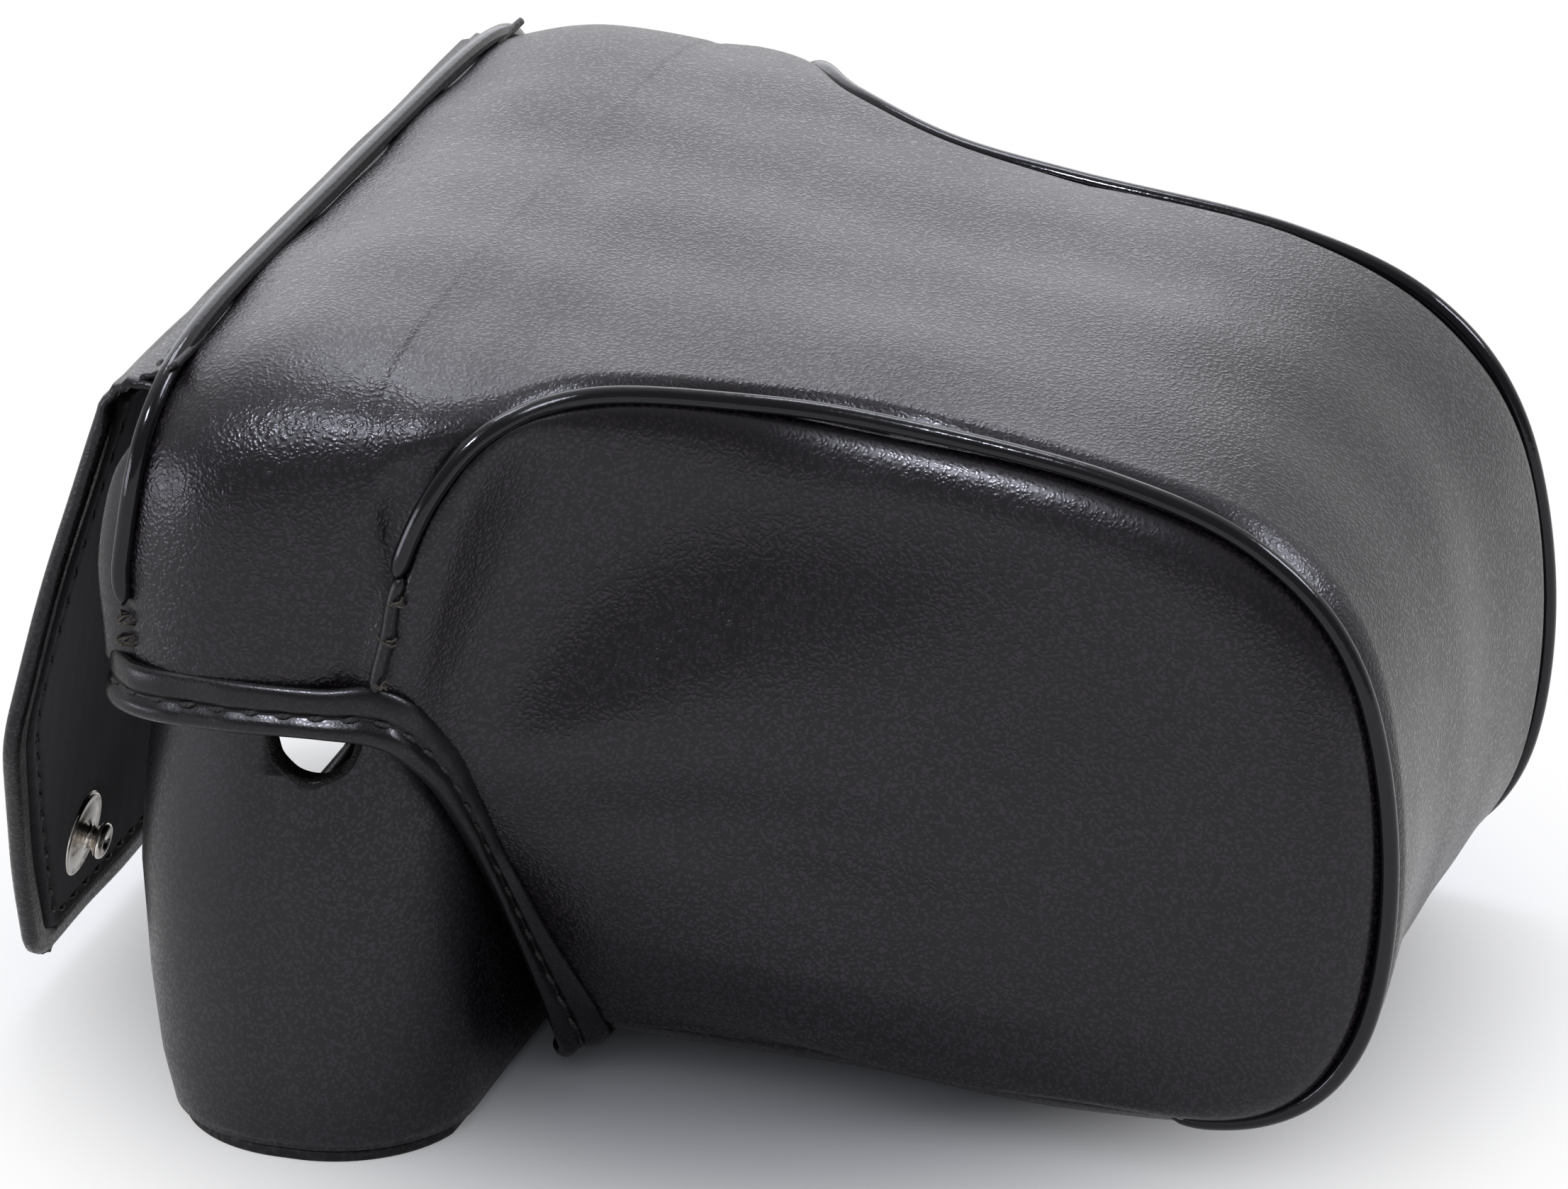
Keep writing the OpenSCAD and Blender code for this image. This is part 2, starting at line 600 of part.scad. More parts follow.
half_case_wall();
half_case_lining();
sole();
base_board();
floor_pad();
screw_escutcheon();
snap_sockets();
socket_rivets();
camera_screw();
retaining_ring();
hood_panel();
left_cheek();
right_cheek();
back_panel();
hood_lining();
left_cheek_lining();
right_cheek_lining();
back_lining();
left_piping();
right_piping();
rear_piping();
rim_binding();
rim_thread();
seam_tacks();
flap_root();
flap_leather();
flap_lining();
flap_thread();
snap_studs();
snap_caps();
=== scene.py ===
import math
from functools import reduce

import bpy
import numpy as np
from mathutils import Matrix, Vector


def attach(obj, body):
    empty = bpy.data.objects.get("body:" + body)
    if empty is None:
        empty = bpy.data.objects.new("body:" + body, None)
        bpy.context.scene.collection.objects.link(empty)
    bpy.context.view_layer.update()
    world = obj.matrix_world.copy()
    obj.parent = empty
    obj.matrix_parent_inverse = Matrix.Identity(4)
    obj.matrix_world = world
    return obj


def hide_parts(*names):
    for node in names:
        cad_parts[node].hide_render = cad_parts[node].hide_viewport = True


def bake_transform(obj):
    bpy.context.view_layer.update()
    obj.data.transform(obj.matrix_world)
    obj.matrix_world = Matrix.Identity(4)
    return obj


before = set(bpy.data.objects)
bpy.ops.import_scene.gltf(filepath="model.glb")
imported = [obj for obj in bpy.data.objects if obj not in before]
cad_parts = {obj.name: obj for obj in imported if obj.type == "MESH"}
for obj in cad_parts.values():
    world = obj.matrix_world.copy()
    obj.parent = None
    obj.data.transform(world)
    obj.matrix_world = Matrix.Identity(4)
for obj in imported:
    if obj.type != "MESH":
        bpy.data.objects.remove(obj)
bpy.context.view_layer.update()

MM = 0.001
MIRROR = np.array([-1, 1, 1])
SIDES = (("right", np.array([1, 1, 1])), ("left", MIRROR))

# Hood: half width, y and z of the edge, direction and rise of the arch, its squareness, height of the lip
# beside the seam and of the crown between the seams, from the back seam round the nose to under its mouth
RIM_Z = 61.5
BODY_RISE = 38.5
BACK_RISE = 36.1
STATIONS = np.array([
    [72.8, 20, RIM_Z, 98.4, BACK_RISE, 6, 0, 0], [74.3, 5, RIM_Z, 93, BODY_RISE, 6, 0, 0],
    [72, -12.3, RIM_Z, 85, BODY_RISE - 0.1, 6, 0, 0], [70.4, -15, 75, 82, 24.4, 5, 0.3, 0],
    [68.5, -19.3, 85.5, 80, 12.5, 4.2, 0.8, 0.2], [63.4, -24.8, 92, 88, 3.5, 3.5, 1.3, 1],
    [53, -32.8, 92.9, 92, 1, 3.2, 1.8, 0.9], [44.9, -47.5, 90.9, 96, 0.3, 3, 2.2, 1.3],
    [41.7, -64.6, 89, 97, 0, 3, 2.2, 1.3], [41.7, -92, 85, 103, 0, 3, 2.2, 0.8],
    [41.4, -109.9, 77.8, 122, 0, 3, 2.2, 0.2], [40.9, -120.7, 64.2, 156, 0, 3, 2.2, -0.6],
    [41.1, -124.8, 41, 180, 0, 3, 2.2, -1.8], [41.4, -121.7, 19, 206, 0, 3, 2.2, -3],
    [41.9, -110.4, 7.5, 242, 0, 3, 2, -0.9], [41.7, -88, 6.1, 270, 1.5, 2.6, 1.5, 2],
    [41.5, -58, 8.6, 272, 3, 2.4, 1.2, 3], [42, -29.3, 8.8, 295, 3, 2.4, 1, 2.8],
], float)
LAST_STATION = len(STATIONS) - 1
SEAM_STATION = 2
SEAM = STATIONS[SEAM_STATION:, :3]
# Station and width of the lip there
LIP_WIDTHS = np.array([[2, 5], [5, 5], [6.4, 3], [9, 3], [10.4, 5.5], [11.6, 5], [13, 4]])
FULL_RISE = 12
FOOT_SHARE = (0.12, 0.3)
# Upper and lower edge of the rim's right half, from the middle of the back to the middle of the mouth
RIM_UPPER = np.array([
    [0, 22.2, RIM_Z], [45, 22.2, RIM_Z], [64.2, 21.6, RIM_Z], [72.0, 17.2, RIM_Z - 0.2],
    [74.3, 6, RIM_Z], [74, -6, RIM_Z], SEAM[0], [69, -16.4, 58.3], [63, -19.2, 50],
    [55.5, -21.2, 37], [47.5, -25.3, 21], SEAM[15], [36, -28, 4.2], [20, -26.6, 3], [0, -26.3, 2.8],
], float)
RIM_LOWER = np.array([
    [0, 22.2, 56], [45, 22.2, 56], [64.9, 21.8, 55.9], [72.6, 17.5, 55.8],
    [74.6, 6, 56], [74.3, -6.5, 56.3], [73, -12.2, 55.6], [71.4, -15.4, 53.4], [65.8, -18.3, 46.6],
    [56.9, -19.9, 34], [48, -22.4, 17.6], [42.1, -24.4, 5], [37, -22.4, 2.4], [20, -20.9, 2], [0, -20.7, 2],
], float)
CHEEK_RIM = RIM_UPPER[6:12]
# Towards the back seam, over HEEL_SPAN stations, the ends are drawn in and their feet tucked forwards
HEEL = 2.0
HEEL_SPAN = 0.7
HEEL_TUCK = 2.2
HEEL_HIGH = 13
HEEL_X = (60, 68)
# Dents in the ends: a groove beside the upright part of the cheek seam, and a dip behind a knuckle on the
# shoulder
VALLEY = 1.2
VALLEY_OFF = 3.6
VALLEY_WIDE = 2.4
VALLEY_TOP = (86, 93)
UPRIGHT_SEAM = 6
KNUCKLE = (67.4, -12.0, 92.8)
SHOULDER_DIP = (69.4, 5.0, 91.8)
KNUCKLE_WIDE = 8.5
KNUCKLE_DEPTH = 0.75
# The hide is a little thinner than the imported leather, so that it stays clear of the lining
HOOD_LEATHER = 1.8
HIDE = HOOD_LEATHER - 0.1
LINING = 0.6
CHEEK_SWELL = 5
CHEEK_ROLL = 11
CHEEK_FOOT = 34
CHEEK_FLARE = 2.2
# Depth, y, z, half length, half height and slope of each dent in a cheek, slid along on the right
CHEEK_DENTS = ((0.9, -67, 75, 15, 8, -0.35), (1.3, -56, 40.5, 24, 5.5, 0.1))
DENT_SLIDE = {"right": 7, "left": 0}
BACK_SWELL = 2.4
BACK_LIP = 0.6
BACK_LIP_HIGH = 8
BACK_FALL = 4.5
BACK_FALL_HIGH = 40
BACK_TUCK = 2
BACK_PILLOW = 2.6
PILLOW_X = (64.5, 68)
PILLOW_TOP = (83, 94)
PIPING_R = 1.15
PIPING_SPAN = (1, 12.5)
PIPING_SINK = 1.5
PIPING_OUT = 0.7
REAR_PIPING_OUT = 0.6
REAR_PIPING_BACK = 0.5
REAR_PIPING_FOOT = 7
STITCH_PITCH = 4.0
STITCH_LENGTH = 2.9
STITCH_R = 0.38
TACK_R = 0.16
RIDGE_R = 0.95

# Half case
CASE_HALF = 72.4
CASE_TOP_HALF = 71
TAPER_Z = (34, 58)
CASE_FRONT = 18.2
CASE_CORNER = 17
REAR_CORNER = 16.5
CORNER_SHARE = 0.42
FOOT_TUCK = 0.5
FOOT_HIGH = 8
CASE_LEATHER = 2.2
END_WALL_Z = 64
LENS_NOTCH_Z = 12
BACK_NOTCH_Z = 17
WALL_SHOULDER_Z = 57
BACK_SHOULDER_Z = 30
# z and depth behind the middle of the back wall
BACK_BULGE = np.array([[1.6, 18.8], [8, 20.2], [18, 21.4], [32, 22.2], [46, 21.2], [54, 20.2], [66, 19.8]])
SOLE_T = 1.6
PAD_Z = 6.6
CAMERA_Z = 7.9
CUP_R = 10.6
LUG_R = 5
LUG_X = 70
LUG_Y = -4
LUG_Z = 54
THREAD_R = 2.95
THREAD_PITCH = 1.27
THREAD_TURNS = 3.1

# Flap
FLAP_LENGTH = 89
FLAP_HALF = 64.5
FLAP_SIDE = 48.5
FLAP_FOOT = 42
FLAP_CORNER = 9
FLAP_EASE = 2.5
FLAP_LEAN = math.radians(14)
FLAP_BOW = 2.6
FLAP_SWING = math.radians(12.4)
FLAP_LEATHER = 1.35
FLAP_BORDER = 0.85
FLAP_INNER = 1.9
BAND_HALF = 0.48
BAND_SEAM = 1.5
FOLD = np.array([0, 22.4, 92.4])
STUD_X = 32
STUD_Y = 24.4
STUD_Z = 17.5
SLEEVE_R = 3.6
SLEEVE_Y = 20.4


# Small helpers


def smooth(low, high, x):
    """0 below low, 1 above high, and a smooth step 3t^2 - 2t^3 between."""
    t = np.clip((x - low) / (high - low), 0, 1)
    return t * t * (3 - 2 * t)


def bump(x, middle, width):
    """A bell of height 1 at middle."""
    return np.exp(-((x - middle) / width) ** 2)


def unit(v):
    return v / np.linalg.norm(v, axis=-1, keepdims=True)


def around(count):
    """Angles at even steps once round."""
    return np.linspace(0, 2 * np.pi, count, endpoint=False)


def curve_through(points, u, closed=False):
    """Catmull-Rom curve: a cubic between each two points, with slopes from its neighbours; u counts them."""
    p = np.asarray(points, float)
    u = np.asarray(u, float)
    count = len(p)
    if closed:
        i = np.floor(u).astype(int)
        a, b, c, d = (p[(i + k) % count] for k in (-1, 0, 1, 2))
    else:
        p = np.vstack([2 * p[0] - p[1], p, 2 * p[-1] - p[-2]])
        i = np.clip(np.floor(u), 0, count - 2).astype(int)
        a, b, c, d = (p[i + k] for k in (0, 1, 2, 3))
    t = (u - i)[..., None]
    return 0.5 * (2 * b + (c - a) * t + (2 * a - 5 * b + 4 * c - d) * t**2 + (3 * b - a - 3 * c + d) * t**3)


def run_along(path):
    """Distance along a polyline at each of its points."""
    return np.concatenate([[0], np.cumsum(np.linalg.norm(np.diff(path, axis=0), axis=1))])


def even_steps(path, step):
    """Points at equal distances along a polyline, about step apart, with the distance at each."""
    run = run_along(path)
    at = np.linspace(0, run[-1], max(2, round(run[-1] / step) + 1))
    return np.stack([np.interp(at, run, path[:, k]) for k in range(path.shape[1])], -1), at


def ripple(points, size, seed):
    """Unevenness from about -1 to 1: the mean of six sine waves near a wavelength, in seeded directions."""
    rng = np.random.default_rng(seed)
    ways = unit(rng.normal(size=(6, 3)))
    turns = 2 * np.pi / size * rng.uniform(0.7, 1.4, 6)
    return np.sin((points @ ways.T) * turns + rng.uniform(0, 2 * np.pi, 6)).mean(-1) * 1.8


def settle(points, amount, size, seed):
    """Moves a grid's points by a gentle unevenness along its normals."""
    normals = unit(np.cross(np.gradient(points, axis=0), np.gradient(points, axis=1)) + 1e-9)
    return points + normals * (amount * ripple(points, size, seed))[..., None]


# Meshes


def grid_quads(rows, cols, wrap_rows=False, wrap_cols=False):
    """Quads between neighbouring rows and columns of a grid, joined round where it wraps."""
    i, j = np.meshgrid(np.arange(rows - (not wrap_rows)), np.arange(cols - (not wrap_cols)), indexing="ij")
    below, right = (i + 1) % rows, (j + 1) % cols
    quads = [i * cols + j, i * cols + right, below * cols + right, below * cols + j]
    return np.stack(quads, -1).reshape(-1, 4)


def ring_quads(points):
    """Quads of a grid that is joined round both ways."""
    return grid_quads(*points.shape[:2], True, True)


def end_caps(rows, sides):
    """The end faces of a tube made of rings."""
    last = (rows - 1) * sides
    return [list(range(sides))[::-1], list(range(last, last + sides))]


def facing_out(points, quads, caps=()):
    """The faces of a closed mesh, turned over where the volume inside them comes out negative."""
    p = points.reshape(-1, 3)
    a, b, c, d = (p[quads[:, k]] - p.mean(0) for k in range(4))
    volume = np.einsum("ij,ij->i", a, np.cross(b, c)) + np.einsum("ij,ij->i", a, np.cross(c, d))
    return (quads[:, ::-1], [k[::-1] for k in caps]) if volume.sum() < 0 else (quads, list(caps))


def join_parts(parts):
    """One list of points, quads and caps from several closed parts, each facing outwards."""
    points, quads, caps, start = [], [], [], 0
    for p, q, c in parts:
        q, c = facing_out(p, q, c)
        p = p.reshape(-1, 3)
        points.append(p)
        quads.append(q + start)
        caps += [[k + start for k in cap] for cap in c]
        start += len(p)
    return np.concatenate(points), np.concatenate(quads), caps


def make_piece(name, points, quads, material, body=None, slot=None, stands_for=(), caps=(), **attributes):
    """Puts the points and faces of one closed piece into a mesh, facing outwards, with its attributes spread
    over its grid, gives it its body and hides the nodes that it stands for; the slot is not used."""
    grid = points.shape[:-1]
    points = points.reshape(-1, 3)
    faces, caps = facing_out(points, quads, caps)
    mesh = bpy.data.meshes.new(name)
    mesh.from_pydata((points * MM).tolist(), [], faces.tolist() + caps)
    mesh.polygons.foreach_set("use_smooth", np.ones(len(mesh.polygons), bool))
    for key, values in attributes.items():
        layer = mesh.attributes.new(key, "FLOAT", "POINT")
        layer.data.foreach_set("value", np.broadcast_to(values, grid).astype(np.float32).ravel())
    mesh.materials.append(material)
    mesh.update()
    piece = bpy.data.objects.new(name, mesh)
    bpy.context.scene.collection.objects.link(piece)
    if body:
        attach(piece, body)
    if stands_for:
        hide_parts(*stands_for)
    return piece


def make_sheet(name, outer, inner, material, body, slot, stands_for, **attributes):
    """A sheet of leather or cloth with the same attributes on both faces: the outer grid, the inner grid
    turned over, and strips along the four borders."""
    rows, cols = outer.shape[:2]
    count = rows * cols
    skin = grid_quads(rows, cols)
    k = np.arange(count).reshape(rows, cols)
    strips = [np.stack([e[1:], e[:-1], e[:-1] + count, e[1:] + count], -1)
              for e in (k[0], k[-1][::-1], k[:, 0][::-1], k[:, -1])]
    points = np.concatenate([outer.reshape(-1, 3), inner.reshape(-1, 3)])
    quads = np.concatenate([skin, skin[:, ::-1] + count, *strips])
    both = {key: np.tile(np.broadcast_to(values, (rows, cols)).ravel(), 2)
            for key, values in attributes.items()}
    return make_piece(name, points, quads, material, body, slot, stands_for, **both)


def make_pair(name, points, quads, material, body, slot, node="", **rest):
    """A right piece and its mirror image on the left."""
    for side, flip in SIDES:
        stands_for = [f"{side}_{node}"] if node else ()
        make_piece(f"{side}_{name}", points * flip, quads, material, body, slot, stands_for, **rest)


def bead(path, radius, side, sides=16, dent=0.0):
    """A round bead along a path: circles square to it, of radius r(1 - dent) in a crease beside the direction
    side, with closed ends."""
    along = unit(np.gradient(path, axis=0))
    across = unit(np.cross(side, along))
    out = np.cross(along, across)
    turn = around(sides)
    crease = 1 - dent * bump(np.angle(np.exp(1j * (turn - 1.1))), 0, 0.3)
    size = np.broadcast_to(radius, len(path))[:, None] * crease
    rings = path[:, None] + size[..., None] * (
        np.cos(turn)[:, None] * out[:, None] + np.sin(turn)[:, None] * across[:, None])
    return rings, grid_quads(len(path), sides, wrap_cols=True), end_caps(len(path), sides)


def tapered(count, radius, last):
    """A radius that narrows nearly to a point over the last rings at both ends."""
    k = np.arange(count)
    near = np.clip(np.minimum(k, count - 1 - k) / last, 0, 1)
    return radius * np.sqrt(1 - (1 - near) ** 2 * 0.97)


def sew(name, places, along, out, body, stands_for=(), dip=0.5):
    """Rows of black stitches: each is a lens of thread, r sqrt(1 - t^2) thick, that arches out and dives in
    at both ends."""
    rows, sides = 7, 6
    t = np.linspace(-0.98, 0.98, rows)
    turn = around(sides)
    across = np.cross(along, out)
    thick = STITCH_R * np.sqrt(1 - t**2)
    spine = (places[:, None] + along[:, None] * (t * STITCH_LENGTH / 2)[None, :, None]
             - out[:, None] * (dip * t**2)[None, :, None])
    ring = np.cos(turn)[:, None] * out[:, None, None] + np.sin(turn)[:, None] * across[:, None, None]
    points = spine[:, :, None] + thick[None, :, None, None] * ring
    faces = grid_quads(rows, sides, wrap_cols=True), end_caps(rows, sides)
    points, quads, caps = join_parts([(p, *faces) for p in points])
    make_piece(name, points, quads, BLACK_THREAD, body, "black_thread", stands_for, caps=caps)


# Shader nodes. A socket knows its tree, so nodes that take a socket are put in that socket's tree.


def feed(socket, value):
    """Links an input to an output, or sets it."""
    if isinstance(value, bpy.types.NodeSocket):
        socket.id_data.links.new(value, socket)
    else:
        socket.default_value = value


def put(tree, kind, settings=None, **inputs):
    """A shader node with its settings, and its inputs set or linked by name."""
    made = tree.nodes.new("ShaderNode" + kind)
    for key, value in (settings or {}).items():
        setattr(made, key, value)
    for key, value in inputs.items():
        feed(made.inputs[key.replace("_", " ")], value)
    return made


def here(tree):
    return put(tree, "TexCoord").outputs["Object"]


def operate(kind, operation, *values):
    """A Math or VectorMath node over some values, the first of them a socket."""
    made = put(values[0].id_data, kind, {"operation": operation})
    for socket, value in zip(made.inputs, values):
        feed(socket, value)
    return made.outputs


def maths(operation, *values):
    return operate("Math", operation, *values)[0]


def times(a, b):
    return maths("MULTIPLY", a, b)


def plus(*terms):
    return reduce(lambda a, b: maths("ADD", a, b), terms)


def blend_colour(share, a, b):
    """A mix of two colours, each an RGB triple or a socket."""
    made = put(share.id_data, "Mix", {"data_type": "RGBA"}, Factor=share)
    for socket, colour in ((made.inputs[6], a), (made.inputs[7], b)):
        feed(socket, (*colour, 1) if isinstance(colour, tuple) else colour)
    return made.outputs[2]


def between(value, low, high, to_low=0.0, to_high=1.0):
    """A smooth step from to_low, at low, to to_high, at high."""
    made = put(value.id_data, "MapRange", {"interpolation_type": "SMOOTHSTEP"}, Value=value,
               From_Min=low, From_Max=high, To_Min=to_low, To_Max=to_high)
    return made.outputs[0]


def noise(place, scale, detail=3.0, rough=0.55):
    made = put(place.id_data, "TexNoise", Vector=place, Scale=scale, Detail=detail, Roughness=rough)
    return made.outputs[0]


def attribute(tree, name):
    return put(tree, "Attribute", {"attribute_name": name}).outputs["Fac"]


def new_group(name, inputs, outputs):
    group = bpy.data.node_groups.new(name, "ShaderNodeTree")
    for key, value in inputs.items():
        group.interface.new_socket(key, in_out="INPUT", socket_type="NodeSocketFloat").default_value = value
    for key in outputs:
        group.interface.new_socket(key, in_out="OUTPUT", socket_type="NodeSocketFloat")
    return group, group.nodes.new("NodeGroupInput").outputs, group.nodes.new("NodeGroupOutput").inputs


def use_group(tree, group, **inputs):
    return put(tree, "Group", {"node_tree": group}, **inputs).outputs


def make_grain():
    """Leather grain: round hills of a bent, smoothed Voronoi pattern with fine noise on them, and a pit where
    three hills meet, which is where the distance to the nearest middle is greatest."""
    tree, given, out = new_group("leather_grain", {"Cells": 1800.0}, ["Height", "Pit"])
    place = here(tree)
    bend = put(tree, "TexNoise", Vector=place, Scale=620.0, Detail=1.0).outputs["Color"]
    centred = operate("VectorMath", "SUBTRACT", bend, (0.5, 0.5, 0.5))[0]
    shifted = operate("VectorMath", "MULTIPLY_ADD", centred, (0.0012, 0.0012, 0.0012), place)[0]
    hills = put(tree, "TexVoronoi", {"feature": "SMOOTH_F1"}, Vector=shifted, Scale=given["Cells"],
                Smoothness=0.35).outputs["Distance"]
    round_top = times(between(hills, 0.75, 0.05), 0.75)
    feed(out["Height"], plus(round_top, times(noise(place, 3400.0, 1.0), 0.3)))
    feed(out["Pit"], between(hills, 0.34, 0.52))
    return tree


def make_wear():
    """Wear: the piece's own wear attribute broken up by noise, broad patches, and thin scratches and dust
    specks all over."""
    tree, given, out = new_group("surface_wear", {"Edge": 0.0, "Scratches": 0.5},
                                 ["Rubbed", "Dust", "Patches"])
    place = here(tree)
    feed(out["Rubbed"], between(plus(given["Edge"], noise(place, 380.0, 4.0, 0.65)), 0.95, 1.35))
    feed(out["Patches"], noise(place, 26.0, 3.0, 0.6))
    drawn_out = put(tree, "Mapping", {"vector_type": "POINT"}, Vector=place, Scale=(34.0, 900.0, 210.0),
                    Rotation=(0.5, 0.9, 0.6)).outputs[0]
    scratch = times(between(noise(drawn_out, 1.0, 2.0), 0.74, 0.8), given["Scratches"])
    specks = put(tree, "TexVoronoi", {"feature": "F1"}, Vector=place, Scale=170.0).outputs["Distance"]
    feed(out["Dust"], maths("MAXIMUM", scratch, times(between(specks, 0.045, 0.02), 0.6)))
    return tree


def make_nap():
    """Napped cloth: short fibres as fine noise over a weave of two crossed waves."""
    tree, given, out = new_group("napped_cloth", {"Threads": 1500.0}, ["Height", "Fuzz"])
    place = here(tree)
    x, y, z = put(tree, "SeparateXYZ", Vector=place).outputs
    warp, weft = (maths("SINE", times(plus(along, z), given["Threads"])) for along in (x, y))
    feed(out["Height"], plus(times(times(warp, weft), 0.25), noise(place, 2600.0, 4.0, 0.7)))
    feed(out["Fuzz"], noise(place, 300.0, 4.0, 0.7))
    return tree


GRAIN = make_grain()
WEAR = make_wear()
NAP = make_nap()


def new_material(name):
    made = bpy.data.materials.new(name)
    made.use_nodes = True
    return made, made.node_tree, made.node_tree.nodes["Principled BSDF"]


def dress(shader, colour, rough, height, depth, **levels):
    """Links a shader's colour, roughness and a bump made of a height of 0 to 1, depth in metres, and sets the
    rest of its inputs to constants."""
    feed(shader.inputs["Base Color"], colour)
    feed(shader.inputs["Roughness"], rough)
    bumps = put(shader.id_data, "Bump", Height=height, Distance=depth, Strength=1.0)
    feed(shader.inputs["Normal"], bumps.outputs[0])
    for key, value in levels.items():
        shader.inputs[key.replace("_", " ")].default_value = value


COOL_SHEEN = (0.93, 0.935, 1.0, 1)
# Painted shade: the near black laid into the leather grain's pits
PIT_SHADE_BLACK = (0.0008, 0.0006, 0.0007)
DUST_GREY = (0.16, 0.15, 0.14)


def leather(name, dark, lighter, rubbed, cells, depth, rough, gloss, scratches=0.25):
    """Black leather: grain that flattens where the piece's stretch attribute is high, duller in its pits and
    blackened there by painted shade, duller in patches, and lighter where it is rubbed."""
    made, tree, shader = new_material(name)
    stretch = attribute(tree, "stretch")
    grain = use_group(tree, GRAIN, Cells=cells)
    wear = use_group(tree, WEAR, Edge=attribute(tree, "wear"), Scratches=scratches)
    patchy = between(wear["Patches"], 0.35, 0.7)
    colour = blend_colour(patchy, dark, lighter)
    # The grain's pits are blended towards near black as painted shade in the recesses; the rubbed and dust
    # blends are real wear
    for share, other in ((times(wear["Rubbed"], 0.8), rubbed), (times(grain["Pit"], 0.85), PIT_SHADE_BLACK),
                         (times(wear["Dust"], 0.25), DUST_GREY)):
        colour = blend_colour(share, colour, other)
    dull = plus(times(patchy, 0.08), times(grain["Pit"], 0.12), times(wear["Rubbed"], 0.12),
                times(stretch, -0.05), rough)
    flattened = times(grain["Height"], plus(times(stretch, -0.8), 1.0))
    dress(shader, colour, dull, flattened, depth, Specular_IOR_Level=gloss, Specular_Tint=COOL_SHEEN)
    return made


def piping_vinyl():
    """Smooth glossy piping: faint long unevenness and a few dusty places."""
    made, tree, shader = new_material("piping_gloss")
    wear = use_group(tree, WEAR, Edge=0.15, Scratches=0.3)
    colour = blend_colour(wear["Patches"], (0.006, 0.006, 0.007), (0.012, 0.012, 0.014))
    rough = plus(between(wear["Patches"], 0.3, 0.8, 0.1, 0.2), times(wear["Dust"], 0.2))
    dress(shader, colour, rough, noise(here(tree), 700.0, 2.0), 0.00004, Specular_IOR_Level=0.34,
          Specular_Tint=COOL_SHEEN)
    return made


def cloth(name, colour, lighter):
    """Dull napped cloth of the linings."""
    made, tree, shader = new_material(name)
    nap = use_group(tree, NAP)
    dress(shader, blend_colour(nap["Fuzz"], colour, lighter), between(nap["Fuzz"], 0.2, 0.9, 0.85, 1.0),
          nap["Height"], 0.00012, Specular_IOR_Level=0.15, Sheen_Weight=0.25)
    return made


def thread(name, colour, lighter):
    """Twisted sewing thread: fine bands across the strand, lighter on their crests."""
    made, tree, shader = new_material(name)
    place = here(tree)
    bands = put(tree, "TexWave", {"bands_direction": "DIAGONAL"}, Vector=place, Scale=1100.0,
                Distortion=3.0).outputs["Fac"]
    fuzz = noise(place, 3000.0)
    dress(shader, blend_colour(times(bands, fuzz), colour, lighter), between(fuzz, 0.2, 0.8, 0.45, 0.75),
          bands, 0.00008)
    return made


def nickel():
    """Worn nickel plate: warm silver in two shades, with dull brown tarnish in spots and fine scratches."""
    made, tree, shader = new_material("worn_nickel")
    place = here(tree)
    wear = use_group(tree, WEAR, Edge=0.1, Scratches=1.0)
    tarnish = between(noise(place, 420.0, 5.0, 0.7), 0.52, 0.72)
    colour = blend_colour(wear["Patches"], (0.62, 0.58, 0.53), (0.74, 0.71, 0.67))
    colour = blend_colour(times(tarnish, 0.7), colour, (0.2, 0.15, 0.1))
    rough = plus(between(tarnish, 0.0, 1.0, 0.2, 0.5), times(wear["Dust"], 0.2))
    dress(shader, colour, rough, noise(place, 1800.0, 3.0), 0.00002, Metallic=1.0)
    return made


def fibre_board():
    """Pressed brown fibre: flecks of lighter fibre in a dark ground."""
    made, tree, shader = new_material("fibre_board")
    flecks = noise(here(tree), 900.0, 5.0, 0.75)
    colour = blend_colour(between(flecks, 0.45, 0.75), (0.06, 0.04, 0.026), (0.16, 0.11, 0.07))
    dress(shader, colour, between(flecks, 0.2, 0.8, 0.75, 0.95), flecks, 0.00015)
    return made


# Each leather: dark, lighter and rubbed colour, cells in a metre, grain depth, roughness, gloss and scratches
HOOD_HIDE = leather("hood_leather", (0.0215, 0.015, 0.0212), (0.029, 0.0222, 0.0295), (0.058, 0.05, 0.054),
                    1900.0, 0.000062, 0.21, 0.4)
CASE_HIDE = leather("half_case_leather", (0.0195, 0.0164, 0.022), (0.025, 0.0216, 0.028),
                    (0.052, 0.046, 0.046), 1900.0, 0.000016, 0.25, 0.4)
FLAP_HIDE = leather("flap_leather", (0.01, 0.009, 0.0102), (0.016, 0.0145, 0.016), (0.06, 0.054, 0.05),
                    1900.0, 0.00004, 0.26, 0.34, 0.8)
BINDING_HIDE = leather("binding_leather", (0.008, 0.0072, 0.0082), (0.014, 0.0128, 0.014),
                       (0.06, 0.054, 0.048), 2200.0, 0.000015, 0.25, 0.38, 0.6)
EDGE_HIDE = leather("cut_edge_leather", (0.006, 0.005, 0.0045), (0.012, 0.0095, 0.008), (0.09, 0.07, 0.05),
                    2600.0, 0.0002, 0.6, 0.3)
SOLE_HIDE = leather("sole_leather", (0.008, 0.0077, 0.008), (0.016, 0.015, 0.0148), (0.08, 0.072, 0.064),
                    1100.0, 0.00005, 0.5, 0.3, 1.0)
PIPING = piping_vinyl()
LINING_CLOTH = cloth("lining_cloth", (0.016, 0.0152, 0.0155), (0.03, 0.0285, 0.029))
FLAP_CLOTH = cloth("flap_lining_cloth", (0.008, 0.0066, 0.0078), (0.018, 0.0155, 0.0175))
BLACK_THREAD = thread("black_thread", (0.006, 0.006, 0.007), (0.03, 0.03, 0.032))
TAN_THREAD = thread("tan_thread", (0.02, 0.016, 0.011), (0.16, 0.13, 0.085))
NICKEL = nickel()
BOARD = fibre_board()


# Hood


